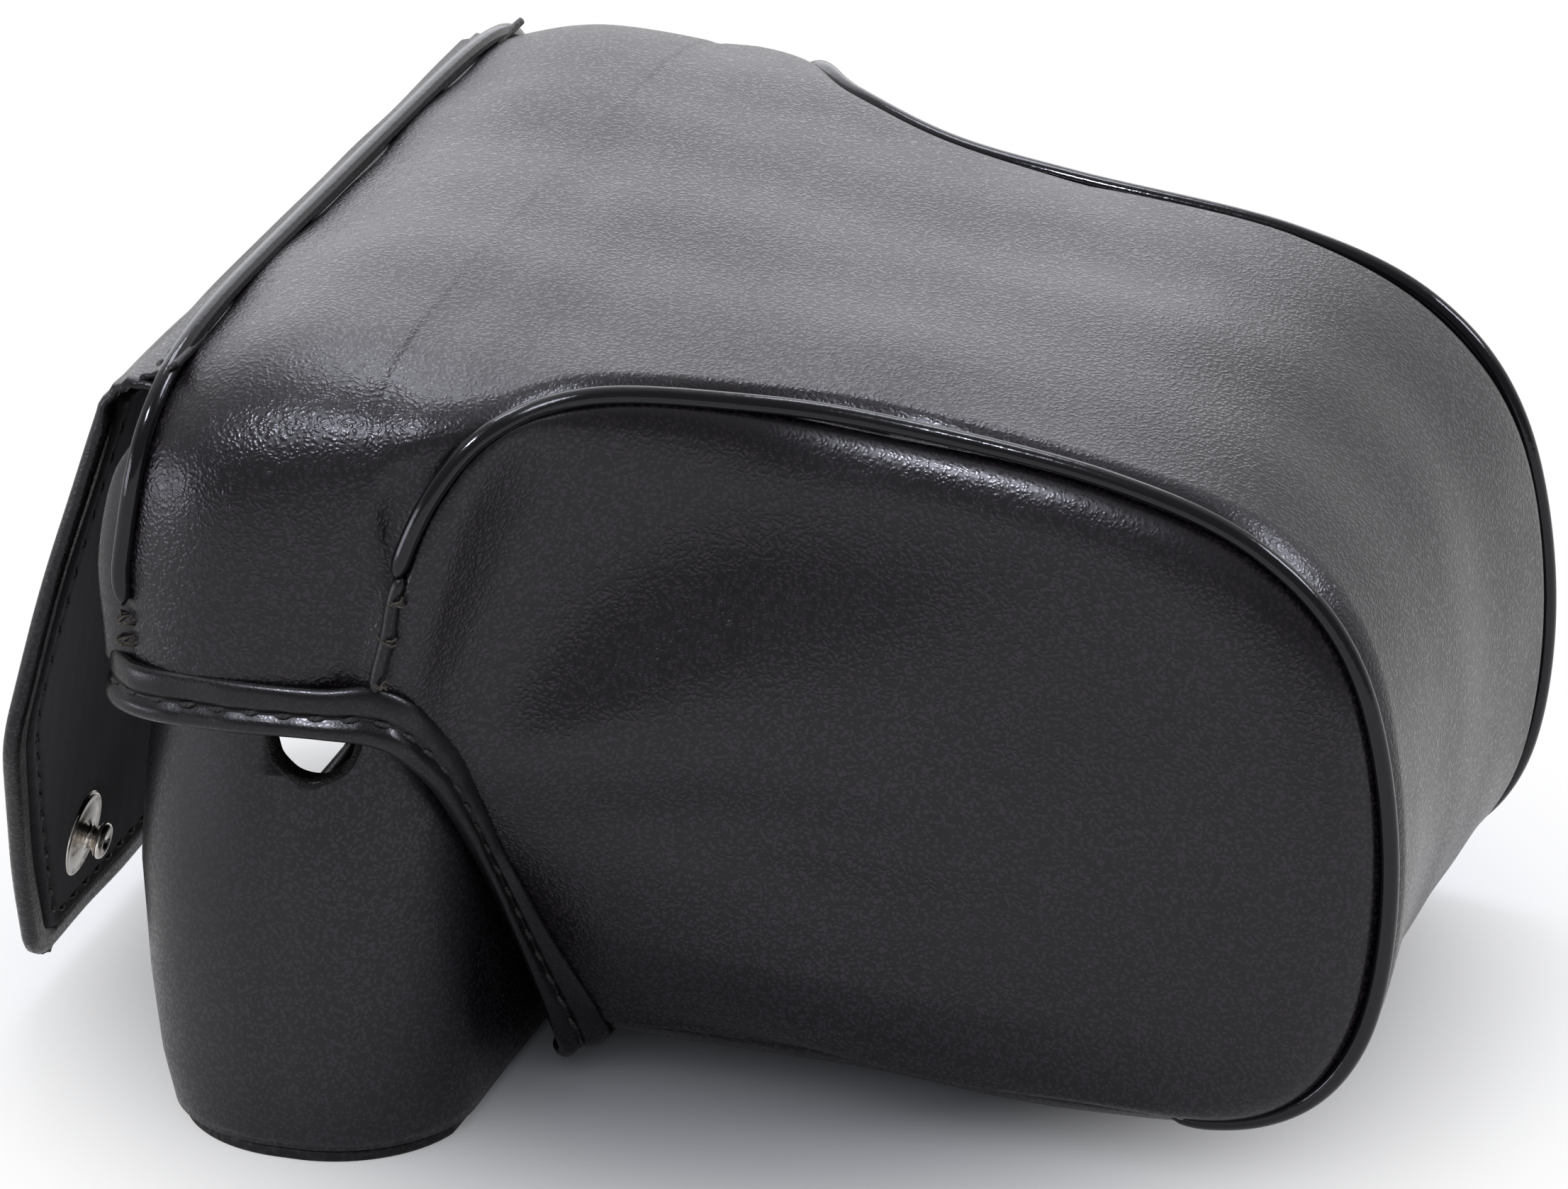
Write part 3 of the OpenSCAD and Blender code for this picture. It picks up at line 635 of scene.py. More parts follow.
def hood_surface(p, q, depth):
    """The hood's arches: a point runs evenly round a box from its left foot (q 0) over the top to its right
    foot (q 1), is drawn in to |x|^n + |y|^n = 1, and is scaled by the half width and rise of station p less
    the depth. A slope beside each seam, 1 - f^1.6 over the lip's width, and a shallow parabola between the
    seams are added to its height. Near the back seam the arch is narrower, its feet tucked forwards."""
    st = curve_through(STATIONS, p)[:, None]
    high = smooth(0, FULL_RISE, st[..., 4])
    near_back = np.clip(1 - p[:, None] / HEEL_SPAN, 0, 1) ** 2
    w = st[..., 0] - depth - HEEL * near_back
    rise = st[..., 4] - depth * high
    n = st[..., 5]
    lean = np.radians(st[..., 3])
    foot = np.clip(rise / (2 * np.abs(rise) + 2 * w), *FOOT_SHARE)
    x = np.clip((q - foot) / (1 - 2 * foot), 0, 1) * 2 - 1
    y = np.clip(np.minimum(q, 1 - q) / foot, 0, 1)
    size = (np.abs(x) ** n + y**n) ** (-1 / n)
    x = w * x * size
    reach = np.interp(p, LIP_WIDTHS[:, 0], LIP_WIDTHS[:, 1])[:, None]
    fall = np.clip(1 - (w - np.abs(x)) / reach, 0, 1)
    lip = st[..., 6] * (1 - fall**1.6)
    crown = st[..., 7] * (1 - (x / w) ** 2)
    h = rise * y * size + lip + crown - depth * (1 - high)
    tuck = HEEL_TUCK * near_back * (1 - smooth(0, HEEL_HIGH, h)) * smooth(*HEEL_X, np.abs(x))
    return np.stack([x, st[..., 1] + h * np.cos(lean) - tuck, st[..., 2] + h * np.sin(lean)], -1)


def hood_hide(name, outer, inner, node, stretch, worn):
    """A leather of the hood, smoothed where it is stretched along its seams and worn there."""
    make_sheet(name, outer, inner, HOOD_HIDE, "hood", "black_leather", [node], stretch=stretch,
               wear=worn * stretch)


def line_hood(name, surface, node):
    """The cloth inside a surface of the hood, which is given as a function of depth."""
    make_sheet(name, surface(HOOD_LEATHER), surface(HOOD_LEATHER + LINING), LINING_CLOTH, "hood",
               "lining_cloth", [node])


def end_dents(points):
    """How far the ends of the panel are pressed in: a soft groove beside the upright part of the cheek seam,
    fading out at the shoulder, and a dip on the shoulder behind a raised knuckle."""
    folded = np.abs(points * [1, 0, 0]) + points * [0, 1, 1]
    seam = curve_through(SEAM, np.linspace(0, UPRIGHT_SEAM, 60))
    distance = np.linalg.norm(folded[..., None, :] - seam, axis=-1).min(-1)
    groove = VALLEY * bump(distance, VALLEY_OFF, VALLEY_WIDE) * (1 - smooth(*VALLEY_TOP, points[..., 2]))
    dip, knuckle = (bump(np.linalg.norm(folded - middle, axis=-1), 0, KNUCKLE_WIDE)
                    for middle in (SHOULDER_DIP, KNUCKLE))
    return groove + KNUCKLE_DEPTH * (dip - knuckle)


def hood_panel():
    """The one hide from the back seam over the top, round the nose and under it, with its lining cloth."""
    p, q = np.linspace(0, LAST_STATION, 171), np.linspace(0, 1, 201)
    outer = settle(hood_surface(p, q, 0.0), amount=0.34, size=36, seed=3)
    inner = hood_surface(p, q, HIDE)
    outer -= unit(outer - inner) * end_dents(outer)[..., None]
    run = np.cumsum(np.linalg.norm(np.diff(outer, axis=1, prepend=outer[:, :1]), axis=-1), axis=1)
    from_seam = np.minimum(run, run[:, -1:] - run)
    stretch = (1 - smooth(1.0, 4.5, from_seam)) * (p[:, None] >= SEAM_STATION)
    hood_hide("hood_panel_hide", outer, inner, "hood_panel", stretch, 0.12)
    p, q = np.linspace(0, LAST_STATION, 69), np.linspace(0, 1, 81)
    line_hood("hood_lining_cloth", lambda depth: hood_surface(p, q, depth), "hood_lining")


def cheek_surface(u, v, depth):
    """A cheek fans from the rim (v 0) to the seam (v 1): straight in y and z, flared in x, swollen past the
    seam, and rolled back to it along a quarter ellipse of fixed width. The distance from the seam comes with
    it."""
    rim = curve_through(CHEEK_RIM, u * (len(CHEEK_RIM) - 1))[:, None]
    seam = curve_through(SEAM, u * (len(SEAM) - 1))[:, None]
    long = np.linalg.norm(seam - rim, axis=-1)
    reach = np.minimum(1, np.minimum(4 * u, 4 * (1 - u)))[:, None]
    near_seam = np.clip(1 - (1 - v) * long / np.minimum(CHEEK_ROLL, 0.4 * long), 0, 1)
    near_rim = np.clip(1 - v * long / np.minimum(CHEEK_FOOT, 0.6 * long), 0, 1)
    swell = CHEEK_SWELL * reach * np.sqrt(1 - near_seam**2) * (1 - near_rim**3)
    points = rim + (seam - rim) * v[None, :, None]
    flare = 1 - (1 - v) ** CHEEK_FLARE
    points[..., 0] = rim[..., 0] + (seam - rim)[..., 0] * flare + swell - depth
    return points, (1 - v) * long


def cheek_dents(points, slide):
    """How far a cheek is pressed in: a hollow under the top roll and a long groove lower down."""
    y, z = points[..., 1] + slide, points[..., 2]
    return sum(depth * np.exp(-((y - at_y) / long) ** 2 - ((z - at_z - slope * (y - at_y)) / high) ** 2)
               for depth, at_y, at_z, long, high, slope in CHEEK_DENTS)


def cheeks():
    """The two cheeks with their linings, worked out on the right and mirrored, each with dents of its own."""
    u = np.linspace(0.004, 0.996, 151)
    v = (1 - np.cos(np.linspace(0, np.pi, 121))) / 2
    outer, from_seam = cheek_surface(u, v, 0.0)
    inner, _ = cheek_surface(u, v, HIDE)
    stretch = 1 - smooth(0.8, 6.0, from_seam)
    for (side, flip), seed in zip(SIDES, (5, 8)):
        pressed = cheek_dents(outer, DENT_SLIDE[side])[..., None] * [-1, 0, 0]
        uneven = settle(outer + pressed, amount=0.5, size=46, seed=seed)
        hood_hide(f"{side}_cheek_hide", uneven * flip, (inner + pressed) * flip, f"{side}_cheek", stretch,
                  0.1)
        line_hood(f"{side}_cheek_lining_cloth", lambda depth: cheek_surface(u[::3], v[::3], depth)[0] * flip,
                  f"{side}_cheek_lining")


def back_surface(s, q, depth):
    """The back panel: the back arch shrunk by s towards the middle of its foot, swelling by 1 - s^18 inside
    its seam, with a pillow beside the flap at each end, and its foot let down into the rim binding."""
    edge = hood_surface(np.array([0.0]), q, 0.0)
    foot = STATIONS[0, :3] * [0, 1, 1]
    points = foot + s[:, None, None] * (edge - foot)
    z = points[..., 2]
    lip_z = RIM_Z + BACK_LIP_HIGH
    above = smooth(RIM_Z, lip_z, z)
    full = foot[1] + BACK_SWELL + BACK_LIP * above - BACK_FALL * smooth(lip_z, RIM_Z + BACK_FALL_HIGH, z)
    points[..., 1] = edge[..., 1] + (full - edge[..., 1]) * (1 - s**18)[:, None] - depth
    ends = smooth(*PILLOW_X, np.abs(points[..., 0])) * (1 - smooth(*PILLOW_TOP, z))
    points[..., 1] += BACK_PILLOW * ends * (1 - s**45)[:, None]
    points[..., 2] = z - BACK_TUCK * (1 - above)
    return points


def back_panel():
    """The panel behind the rear piping, tucked into the rim binding, with its lining."""
    s = 0.02 + 0.98 * np.linspace(0, 1, 101) ** 0.3
    q = np.linspace(0, 1, 161)
    outer = back_surface(s, q, 0.0)
    stretch = smooth(0.86, 0.96, s)[:, None]
    hood_hide("back_panel_hide", outer, back_surface(s, q, HIDE), "back_panel", stretch, 0.15)
    line_hood("back_lining_cloth", lambda depth: back_surface(s[::3], q[::4], depth), "back_lining")


def piping():
    """Glossy beads in the three seams: one along each cheek, about a millimetre out of it and sinking in
    under the nose, and one at the back."""
    count, sides = 260, 20
    u = np.linspace(*PIPING_SPAN, count)
    lean = np.radians(curve_through(STATIONS, u + SEAM_STATION)[:, 3])
    proud = 1 - 0.9 * smooth(PIPING_SPAN[1] - PIPING_SINK, PIPING_SPAN[1], u)
    lift = np.stack([PIPING_OUT + 0 * u, np.cos(lean), np.sin(lean)], -1)
    path = curve_through(SEAM, u) + lift * proud[:, None]
    rings, quads, caps = bead(path, tapered(count, PIPING_R, 5), np.array([1.0, 0, 0]), sides, 0.12)
    make_pair("piping_bead", rings, quads, PIPING, "hood", "piping_vinyl", "piping", caps=caps)
    arch = hood_surface(np.array([0.0]), np.linspace(0, 1, 801), 0.0)[0]
    arch, _ = even_steps(arch[arch[:, 2] > RIM_Z + REAR_PIPING_FOOT], 0.8)
    along = np.gradient(arch, axis=0)
    arch += unit(np.stack([-along[:, 2], 0 * along[:, 0], along[:, 0]], -1)) * REAR_PIPING_OUT
    arch[:, 1] += REAR_PIPING_BACK
    rings, quads, caps = bead(arch, tapered(len(arch), PIPING_R, 4), np.array([0, 1.0, 0]), sides)
    make_piece("rear_piping_bead", rings, quads, PIPING, "hood", "piping_vinyl", ["rear_piping"], caps=caps)


# Section of the rim binding: distance down from its upper edge and outwards from its middle,
# two rolls with the stitched groove between them, then the flat inner face
BINDING_SECTION = np.array([
    [-0.75, -0.2], [-0.7, 0.55], [-0.1, 0.95], [0.9, 1.05], [1.9, 0.95], [2.5, 0.6], [2.85, 0.42],
    [3.2, 0.65], [3.9, 1.15], [4.8, 1.2], [5.5, 0.7], [5.75, -0.2], [5.3, -0.95], [4.0, -1.15], [2.0, -1.15],
    [0.3, -1.05],
])
BINDING_DEEP = 5.5
GROOVE = 2.85


def rim_loop(count):
    """Upper edge, way down to the lower edge, outward normal and direction of the rim, at even steps round
    both sides of the hood."""
    upper, lower = (np.concatenate([half, half[-2:0:-1] * MIRROR]) for half in (RIM_UPPER, RIM_LOWER))
    fine = np.linspace(0, len(upper), 4001)
    track, _ = even_steps(np.concatenate([curve_through(upper, fine, True), fine[:, None]], 1), 0.1)
    u = track[np.linspace(0, len(track) - 1, count + 1).astype(int)[:-1], 3]
    a, b = curve_through(upper, u, True), curve_through(lower, u, True)
    along = curve_through(upper, u + 0.05, True) - curve_through(upper, u - 0.05, True)
    return a, b - a, unit(np.cross(along, b - a)), unit(along)


def rim_binding():
    """The bound rim: its section carried round the whole edge of the hood, puckered at every stitch."""
    count = 560
    a, down, out, _ = rim_loop(count)
    section = curve_through(BINDING_SECTION, np.linspace(0, len(BINDING_SECTION), 49)[:-1], True)
    low, far = section.T
    scale = np.linalg.norm(down, axis=1, keepdims=True) / BINDING_DEEP
    length = np.linalg.norm(np.roll(a, -1, 0) - a, axis=1)
    run = np.cumsum(length) - length
    pull = np.cos(2 * np.pi * run / STITCH_PITCH)[:, None] * bump(low, GROOVE, 1.3)
    d = far - 0.06 * pull * (far > 0)
    points = a[:, None] + unit(down)[:, None] * (low * scale)[..., None] + out[:, None] * d[..., None]
    points += out[:, None] * (0.12 * ripple(points, 9, 21))[..., None]
    wear = 0.55 * (bump(low, -0.6, 0.5) + 0.45 * bump(low, 5.4, 0.7))
    make_piece("rim_binding_roll", points, ring_quads(points), BINDING_HIDE, "hood", "black_leather",
               ["rim_binding"], wear=wear, stretch=0.35)


def rim_stitches():
    """Black stitches in the groove of the binding, a little askew."""
    step, askew, share_down, proud = 0.1, 0.12, 0.52, 0.55
    a, down, out, along = rim_loop(2000)
    line = a + down * share_down + out * proud
    places, _ = even_steps(np.concatenate([line, out, along], 1), step)
    rows = places[np.arange(0, len(places) - 20, round(STITCH_PITCH / step))]
    place, out, along = rows[:, :3], rows[:, 3:6], rows[:, 6:9]
    sew("rim_stitches", place, unit(along + askew * np.cross(out, along)), unit(out), "hood", ["rim_thread"])


def seam_ridges():
    """The turned leather edges that stand up along each cheek seam between the rim and the piping's end."""
    count = 60
    u = np.linspace(0.02, 1.1, count)
    path = curve_through(SEAM, u) + np.array([0.35, -0.2, 0])
    path[:, 1] += 0.12 * np.sin(9 * u)
    rings, quads, caps = bead(path, tapered(count, RIDGE_R, 6), np.array([1.0, 0, 0]), 16, 0.25)
    make_pair("seam_ridge", rings, quads, BINDING_HIDE, "hood", "black_leather", caps=caps)


def seam_tacks():
    """Hand stitches of tan thread that close the seams below the piping, each three strands over the gap."""
    strands = []
    rng = np.random.default_rng(4)

    def tack(place, across, out, reach):
        across, out = unit(np.array(across)), unit(np.array(out))
        for k in range(3):
            slant = np.cross(across, out) * (k - 1) * 0.7
            knots = np.array([-1.1, -0.6, 0.1, 0.6, 1.1])[:, None] * across * reach
            lift = np.array([-0.7, 0.35, 0.75, 0.35, -0.7])[:, None] * out
            lie = np.array([-1, -0.4, 0.1, 0.5, 1])[:, None] * slant + rng.normal(0, 0.14, (5, 3))
            line = curve_through(place + knots + lift + lie, np.linspace(0, 4, 17))
            strands.append(bead(line, TACK_R, np.array([0.31, 0.2, 0.93]), 6))

    for u in (0.12, 0.5, 0.85):
        tack(curve_through(SEAM, np.array([u]))[0] + [0.9, -0.5, 0], [0.3, -1.0, 0.1], [1.0, -0.5, 0], 1.2)
    for height in (2.6, 5.2):
        tack(np.array([71.0, 18.6, RIM_Z + height]), [0.35, -1.0, 0], [1.0, 0.5, 0], 1.1)
    points, quads, caps = join_parts(strands + [(p * MIRROR, q, c) for p, q, c in strands])
    make_piece("seam_tack_threads", points, quads, TAN_THREAD, "hood", "tan_thread", ["seam_tacks"],
               caps=caps)


# Half case


def case_half(z):
    """Half width of the half case at a height: tapered above the middle and tucked in at the foot."""
    tuck = FOOT_TUCK * (1 - smooth(0, FOOT_HIGH, z))
    return CASE_HALF + (CASE_TOP_HALF - CASE_HALF) * smooth(*TAPER_Z, z) - tuck


def back_depth(z):
    """Depth of the half case behind its middle at a height, as a share of its depth in front."""
    return np.interp(z, BACK_BULGE[:, 0], BACK_BULGE[:, 1]) / CASE_FRONT


def case_outline(turn, z, depth):
    """The half case at a height: straight long sides and round ends, deeper behind by the bulge there."""
    side = np.where(np.cos(turn) < 0, -1, 1)
    face = np.where(np.sin(turn) < 0, -1, 1)
    t = np.abs(np.arctan(np.tan(turn))) / (np.pi / 2)
    straight = np.clip((t - CORNER_SHARE) / (1 - CORNER_SHARE), 0, 1)
    bend = np.clip(t / CORNER_SHARE, 0, 1) * np.pi / 2
    deep = np.where(face > 0, back_depth(z), 1)
    r = np.where(face > 0, REAR_CORNER, CASE_CORNER)
    x = (case_half(z) - r) * (1 - straight) + (r - depth) * np.cos(bend)
    y = (CASE_FRONT - r + r * np.sin(bend)) * deep - depth * np.sin(bend)
    return np.stack([side * x, face * y, z + 0 * x], -1)


def wall_top(points):
    """Height of the wall: high ends, cut down in front for the lens and behind for the camera back."""
    x = np.abs(points[..., 0])
    ends = END_WALL_Z - WALL_SHOULDER_Z
    front = LENS_NOTCH_Z + (WALL_SHOULDER_Z - LENS_NOTCH_Z) * smooth(22, 46, x) + ends * smooth(56, 70, x)
    back = (BACK_NOTCH_Z + (BACK_SHOULDER_Z - BACK_NOTCH_Z) * smooth(9, 24, x)
            + (WALL_SHOULDER_Z - BACK_SHOULDER_Z) * smooth(42, 62, x) + ends * smooth(60, 70, x))
    return np.where(points[..., 1] < 0, front, back)


def wall_ring(from_z, first, thick, rows, lower=0.0):
    """A wall of the half case: up its outer face, over a half round edge, and down its inner face. The share
    of the height at each row comes with it."""
    turn = around(420) + 0.004
    half = thick / 2
    round_edge = np.linspace(0, np.pi, 11)[1:-1]
    flat = np.zeros(rows)
    up = np.linspace(0, 1, rows)
    share = np.concatenate([up, np.ones(len(round_edge)), up[::-1]])[:, None]
    over = np.concatenate([flat, half * np.sin(round_edge), flat])[:, None]
    deep = np.concatenate([flat, half - half * np.cos(round_edge), flat + thick])[:, None]
    foot = case_outline(turn, np.full_like(turn, from_z), first)
    top = wall_top(foot) - half - lower
    z = from_z + (top - from_z) * share + over
    return case_outline(turn[None] + 0 * z, z, first + deep), share


def rod(radius, place, axis):
    """A closed cylinder 20 mm long about a point, to bore a hole along x or y."""
    sides = 48
    turn = around(sides)
    ends = np.array([-10.0, 10.0])[:, None] + 0 * turn
    c, s = radius * np.cos(turn) + 0 * ends, radius * np.sin(turn) + 0 * ends
    points = np.stack([ends, c, s] if axis == "x" else [-c, ends, s], -1) + np.array(place)
    return points, grid_quads(2, sides, wrap_cols=True), end_caps(2, sides)


def bore(piece, rods):
    """Bores holes through a wall, applied to its mesh."""
    points, quads, caps = join_parts(rods)
    cutter = make_piece("wall_cutter", points, quads, CASE_HIDE, caps=caps)
    cut = piece.modifiers.new("holes", "BOOLEAN")
    cut.operation, cut.object, cut.solver = "DIFFERENCE", cutter, "EXACT"
    graph = bpy.context.evaluated_depsgraph_get()
    piece.data = bpy.data.meshes.new_from_object(piece.evaluated_get(graph))
    piece.modifiers.clear()
    bpy.data.objects.remove(cutter)


def half_case():
    """The moulded wall with its lug holes and seats for the stud sockets, and the cloth that lines it."""
    points, share = wall_ring(SOLE_T, 0.0, CASE_LEATHER, 46)
    edge = smooth(0.96, 1.0, share) * 0.35 + 0.25 * (1 - smooth(0.0, 0.05, share))
    points[..., 2] += 0.15 * ripple(points, 30, 31) * smooth(6, 20, points[..., 2])
    lugs = [rod(LUG_R, (x, LUG_Y, LUG_Z), "x") for x in (LUG_X, -LUG_X)]
    seats = [rod(SLEEVE_R, (x, SLEEVE_Y, STUD_Z), "y") for x in (STUD_X, -STUD_X)]
    bore(make_piece("half_case_hide", points, ring_quads(points), CASE_HIDE, "half_case", "black_leather",
                    ["half_case_wall"], wear=edge), lugs + seats)
    points, _ = wall_ring(CAMERA_Z, CASE_LEATHER + 0.02, LINING, 24, 1.0)
    bore(make_piece("half_case_lining_cloth", points, ring_quads(points), LINING_CLOTH, "half_case",
                    "lining_cloth", ["half_case_lining"]), lugs)


def lug_rings():
    """The raw edge of each lug hole: a rounded lip carried round it, following the curve of the end wall."""
    turn, lip = around(96), around(20)
    y, z = LUG_Y + LUG_R * np.cos(turn), LUG_Z + LUG_R * np.sin(turn)
    deep = np.where(y > 0, back_depth(z), 1)
    bend = np.clip(np.abs(y) / deep - (CASE_FRONT - CASE_CORNER), 0, CASE_CORNER)
    x = case_half(z) - CASE_CORNER + np.sqrt(CASE_CORNER**2 - bend**2)
    half = (CASE_LEATHER + LINING) / 2
    across = -half + (half + 0.25) * np.sin(lip)
    radius = LUG_R - (0.6 * np.cos(lip) - 0.25)
    points = np.stack([x[:, None] + across, LUG_Y + radius * np.cos(turn)[:, None],
                       LUG_Z + radius * np.sin(turn)[:, None]], -1)
    points += (0.08 * ripple(points, 2.5, 41))[..., None]
    make_pair("lug_edge", points, ring_quads(points), EDGE_HIDE, "half_case", "black_leather",
              wear=0.5 * (np.sin(lip) > 0.5))


EDGE_STEPS = 6


def rounded_plate(half, depth, corner, hole, low, high, edge):
    """A flat plate with round corners and a round hole: its section runs up the outer edge, in over the top,
    down the hole and back under, with its outer edges rounded by a quarter circle and the hole's bevelled."""
    turn = around(320)
    spoke = np.stack([np.cos(turn), np.sin(turn)], -1)
    straight = np.array([half - corner, depth - corner])
    core = np.clip(spoke * 3 * half, -straight, straight)
    quarter = np.linspace(0, np.pi / 2, EDGE_STEPS)
    rise, run = edge * (1 - np.cos(quarter)), edge * (1 - np.sin(quarter))
    rim_in = np.concatenate([run, run[::-1]])
    rim_z = np.concatenate([low + rise, high - rise[::-1]])
    outer = core[None] + spoke * (corner - rim_in)[:, None, None]
    inner = spoke[None] * np.array([hole + edge, hole, hole, hole + edge])[:, None, None]
    inner_z = np.array([high, high - edge, low + edge, low])
    over, under = (outer[-1] + inner[0]) / 2, (outer[0] + inner[-1]) / 2
    flat = np.concatenate([outer, over[None], inner, under[None]])
    z = np.concatenate([rim_z, [high], inner_z, [low]])
    return np.concatenate([flat, np.broadcast_to(z[:, None, None], (*flat.shape[:2], 1))], -1)


def floor_of_case():
    """The sole with a rubbed edge, and the cloth-covered pad that the camera stands on."""
    points = rounded_plate(CASE_HALF - 0.5, CASE_FRONT - 0.6, CASE_CORNER - 0.6, CUP_R + 0.1,
                           0.0, SOLE_T, 0.5)
    on_edge = np.arange(len(points))[:, None] < 2 * EDGE_STEPS
    make_piece("sole_plate", points, ring_quads(points), SOLE_HIDE, "half_case", "sole_leather", ["sole"],
               wear=0.4 * on_edge)
    inset = CASE_LEATHER + 1.9
    points = rounded_plate(CASE_HALF - inset, CASE_FRONT - inset + 0.9, CASE_CORNER - inset, CUP_R + 2.6,
                           PAD_Z, CAMERA_Z, 0.45)
    make_piece("floor_pad_cloth", points, ring_quads(points), LINING_CLOTH, "half_case", "lining_cloth",
               ["floor_pad"])


def screw_thread():
    """The camera screw's thread: a ridge that climbs by its pitch in each turn round the shank."""
    count = 220
    turn = np.linspace(0, 2 * np.pi * THREAD_TURNS, count)
    height = CAMERA_Z + 0.3 + THREAD_PITCH * turn / (2 * np.pi)
    path = np.stack([THREAD_R * np.cos(turn), THREAD_R * np.sin(turn), height], -1)
    rings, quads, caps = bead(path, tapered(count, 0.42, 12), np.array([0, 0, 1.0]), 8)
    make_piece("camera_screw_ridge", rings, quads, NICKEL, "screw", "nickel", caps=caps)


# Flap


def flap_half_width(s, inset=0.0):
    """Half width of the flap at a distance s from its fold, drawn in by an inset: nearly upright sides,
    slanted sides below, their corner eased, and round lower corners."""
    slope = (FLAP_HALF - FLAP_FOOT) / (FLAP_LENGTH - FLAP_SIDE)
    lean = math.atan(slope)
    centre, radius = FLAP_LENGTH - FLAP_CORNER, FLAP_CORNER - inset
    middle = FLAP_HALF - slope * (centre - FLAP_SIDE) - FLAP_CORNER / math.cos(lean)
    side = FLAP_HALF - 1 + s / FLAP_SIDE - inset
    slant = FLAP_HALF - slope * (s - FLAP_SIDE) - inset / math.cos(lean)
    near = np.clip(FLAP_EASE - np.abs(side - slant), 0, None)
    straight = np.minimum(side, slant) - near**2 / (4 * FLAP_EASE)
    arc = middle + np.sqrt(np.clip(radius**2 - (s - centre) ** 2, 0, None))
    return np.where(s > centre + radius * math.sin(lean), arc, straight)


# The outer line of the leather in the middle plane, y and z, from under the root band over the fold
FOLD_LINE = np.array([[16.2, 93.3], [17.8, 93.6], [19.3, 93.7], [20.7, 93.4], [21.9, 92.8], [22.9, 91.8]])


def line_out(line):
    """Outward direction along a line in y and z, square to its own."""
    along = unit(np.gradient(line, axis=0))
    return np.stack([-along[:, 1], along[:, 0]], -1)


def flap_line():
    """Distance from the fold (negative before it), y and z, and outward direction along the leather: over the
    fold, then down the hanging flap with its bow."""
    s = np.linspace(2.2, FLAP_LENGTH, 60)
    hang = np.stack([FOLD[1] + 1 + s * math.sin(FLAP_LEAN) + FLAP_BOW * np.sin(np.pi * s / FLAP_LENGTH),
                     FOLD[2] - s * math.cos(FLAP_LEAN)], -1)
    knots = np.concatenate([FOLD_LINE, hang])
    line, run = even_steps(curve_through(knots, np.linspace(0, len(knots) - 1, 1500)), 0.05)
    start = run[np.argmin(np.linalg.norm(line - hang[0], axis=1))] - s[0]
    return run - start, line, line_out(line)


FLAP_RUN, FLAP_LINE, FLAP_OUT = flap_line()


def on_flap(x, s, depth):
    """A point of the flap: x across, s along the leather from the fold, depth from its outer face inwards."""
    y, z = (np.interp(s, FLAP_RUN, FLAP_LINE[:, k]) for k in (0, 1))
    out_y, out_z = (np.interp(s, FLAP_RUN, FLAP_OUT[:, k]) for k in (0, 1))
    return np.stack([x + 0 * y, y - out_y * depth, z - out_z * depth], -1)


def flap_ripple(x, s, size, seed):
    return ripple(np.stack([x, s, 0 * s], -1), size, seed)


def flap_grid(inset, top, rows, cols):
    """x and s over the flap inside an inset outline, with closer rows and columns near its edges,
    and the distance of each point from that outline's sides and foot."""
    end = FLAP_LENGTH - inset
    s = top + (end - top) * (1 - (1 - np.linspace(0, 1, rows)) ** 1.7)
    side = np.linspace(-1, 1, cols)
    x = np.sin(side * np.pi / 2) * 0.8 + side * 0.2
    s_grid = s[:, None] + 0 * x
    x_grid = x * flap_half_width(np.maximum(s, 0), inset)[:, None]
    down = np.linspace(top - 20, end, 700)
    left = np.stack([flap_half_width(np.maximum(down, 0), inset), down], -1)
    foot = np.stack([np.linspace(left[-1, 0], 0, 80), np.full(80, end)], -1)
    outline = np.concatenate([left, foot])
    flat = np.stack([np.abs(x_grid), s_grid], -1).reshape(-1, 1, 2)
    near = np.concatenate([np.linalg.norm(part - outline, axis=-1).min(1)
                           for part in np.array_split(flat, 20)])
    return x_grid, s_grid, near.reshape(x_grid.shape)


def rounded(distance, radius):
    """Share of full thickness near an edge that is a half round of that radius."""
    return np.sqrt(np.clip(1 - (1 - np.clip(distance / radius, 0, 1)) ** 2, 0.0004, 1))


def flap_hide():
    """The flap's leather: bends over from the root, hangs, and is turned in along its thicker border."""
    x, s, near = flap_grid(0.0, FLAP_RUN[0], 150, 121)
    border = 1 - smooth(2.6, 4.4, near)
    full = FLAP_LEATHER + FLAP_BORDER * border * smooth(1, 6, s)
    half = full / 2 * rounded(near, 1.15)
    crumple = 0.22 * np.sin(2 * np.pi * (s + 0.6 * flap_ripple(x, s, 40, 6)) / 2.3)
    crumple = crumple * smooth(-5.5, -3.0, s) * (1 - smooth(-0.5, 2.5, s))
    middle = full / 2 + crumple + 0.12 * flap_ripple(x, s, 28, 12) * smooth(4, 20, s)
    stretch = 0.3 * border + 0.5 * bump(s, -1, 3)
    wear = 0.5 * bump(near, 0.2, 0.9) + 0.25 * bump(s, -1.5, 1.6)
    piece = make_sheet("flap_hide", on_flap(x, s, middle - half), on_flap(x, s, middle + half), FLAP_HIDE,
                       None, "black_leather", ["flap_leather"], stretch=stretch, wear=wear)
    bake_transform(piece)


def flap_lining():
    """The cloth panel inside the flap, its edge turned under and pulled down along the stitches."""
    x, s, near = flap_grid(3.5, 1.5, 120, 101)
    half = 0.56 * rounded(near, 0.9)
    puff = (0.16 * bump(near, 0.9, 0.7) - 0.2 * bump(near, 2.0, 0.6)
            + 0.1 * flap_ripple(x, s, 22, 15) * smooth(2, 8, near))
    make_sheet("flap_lining_panel", on_flap(x, s, FLAP_INNER - half), on_flap(x, s, FLAP_INNER + half + puff),
               FLAP_CLOTH, "flap", "lining_cloth", ["flap_lining"])


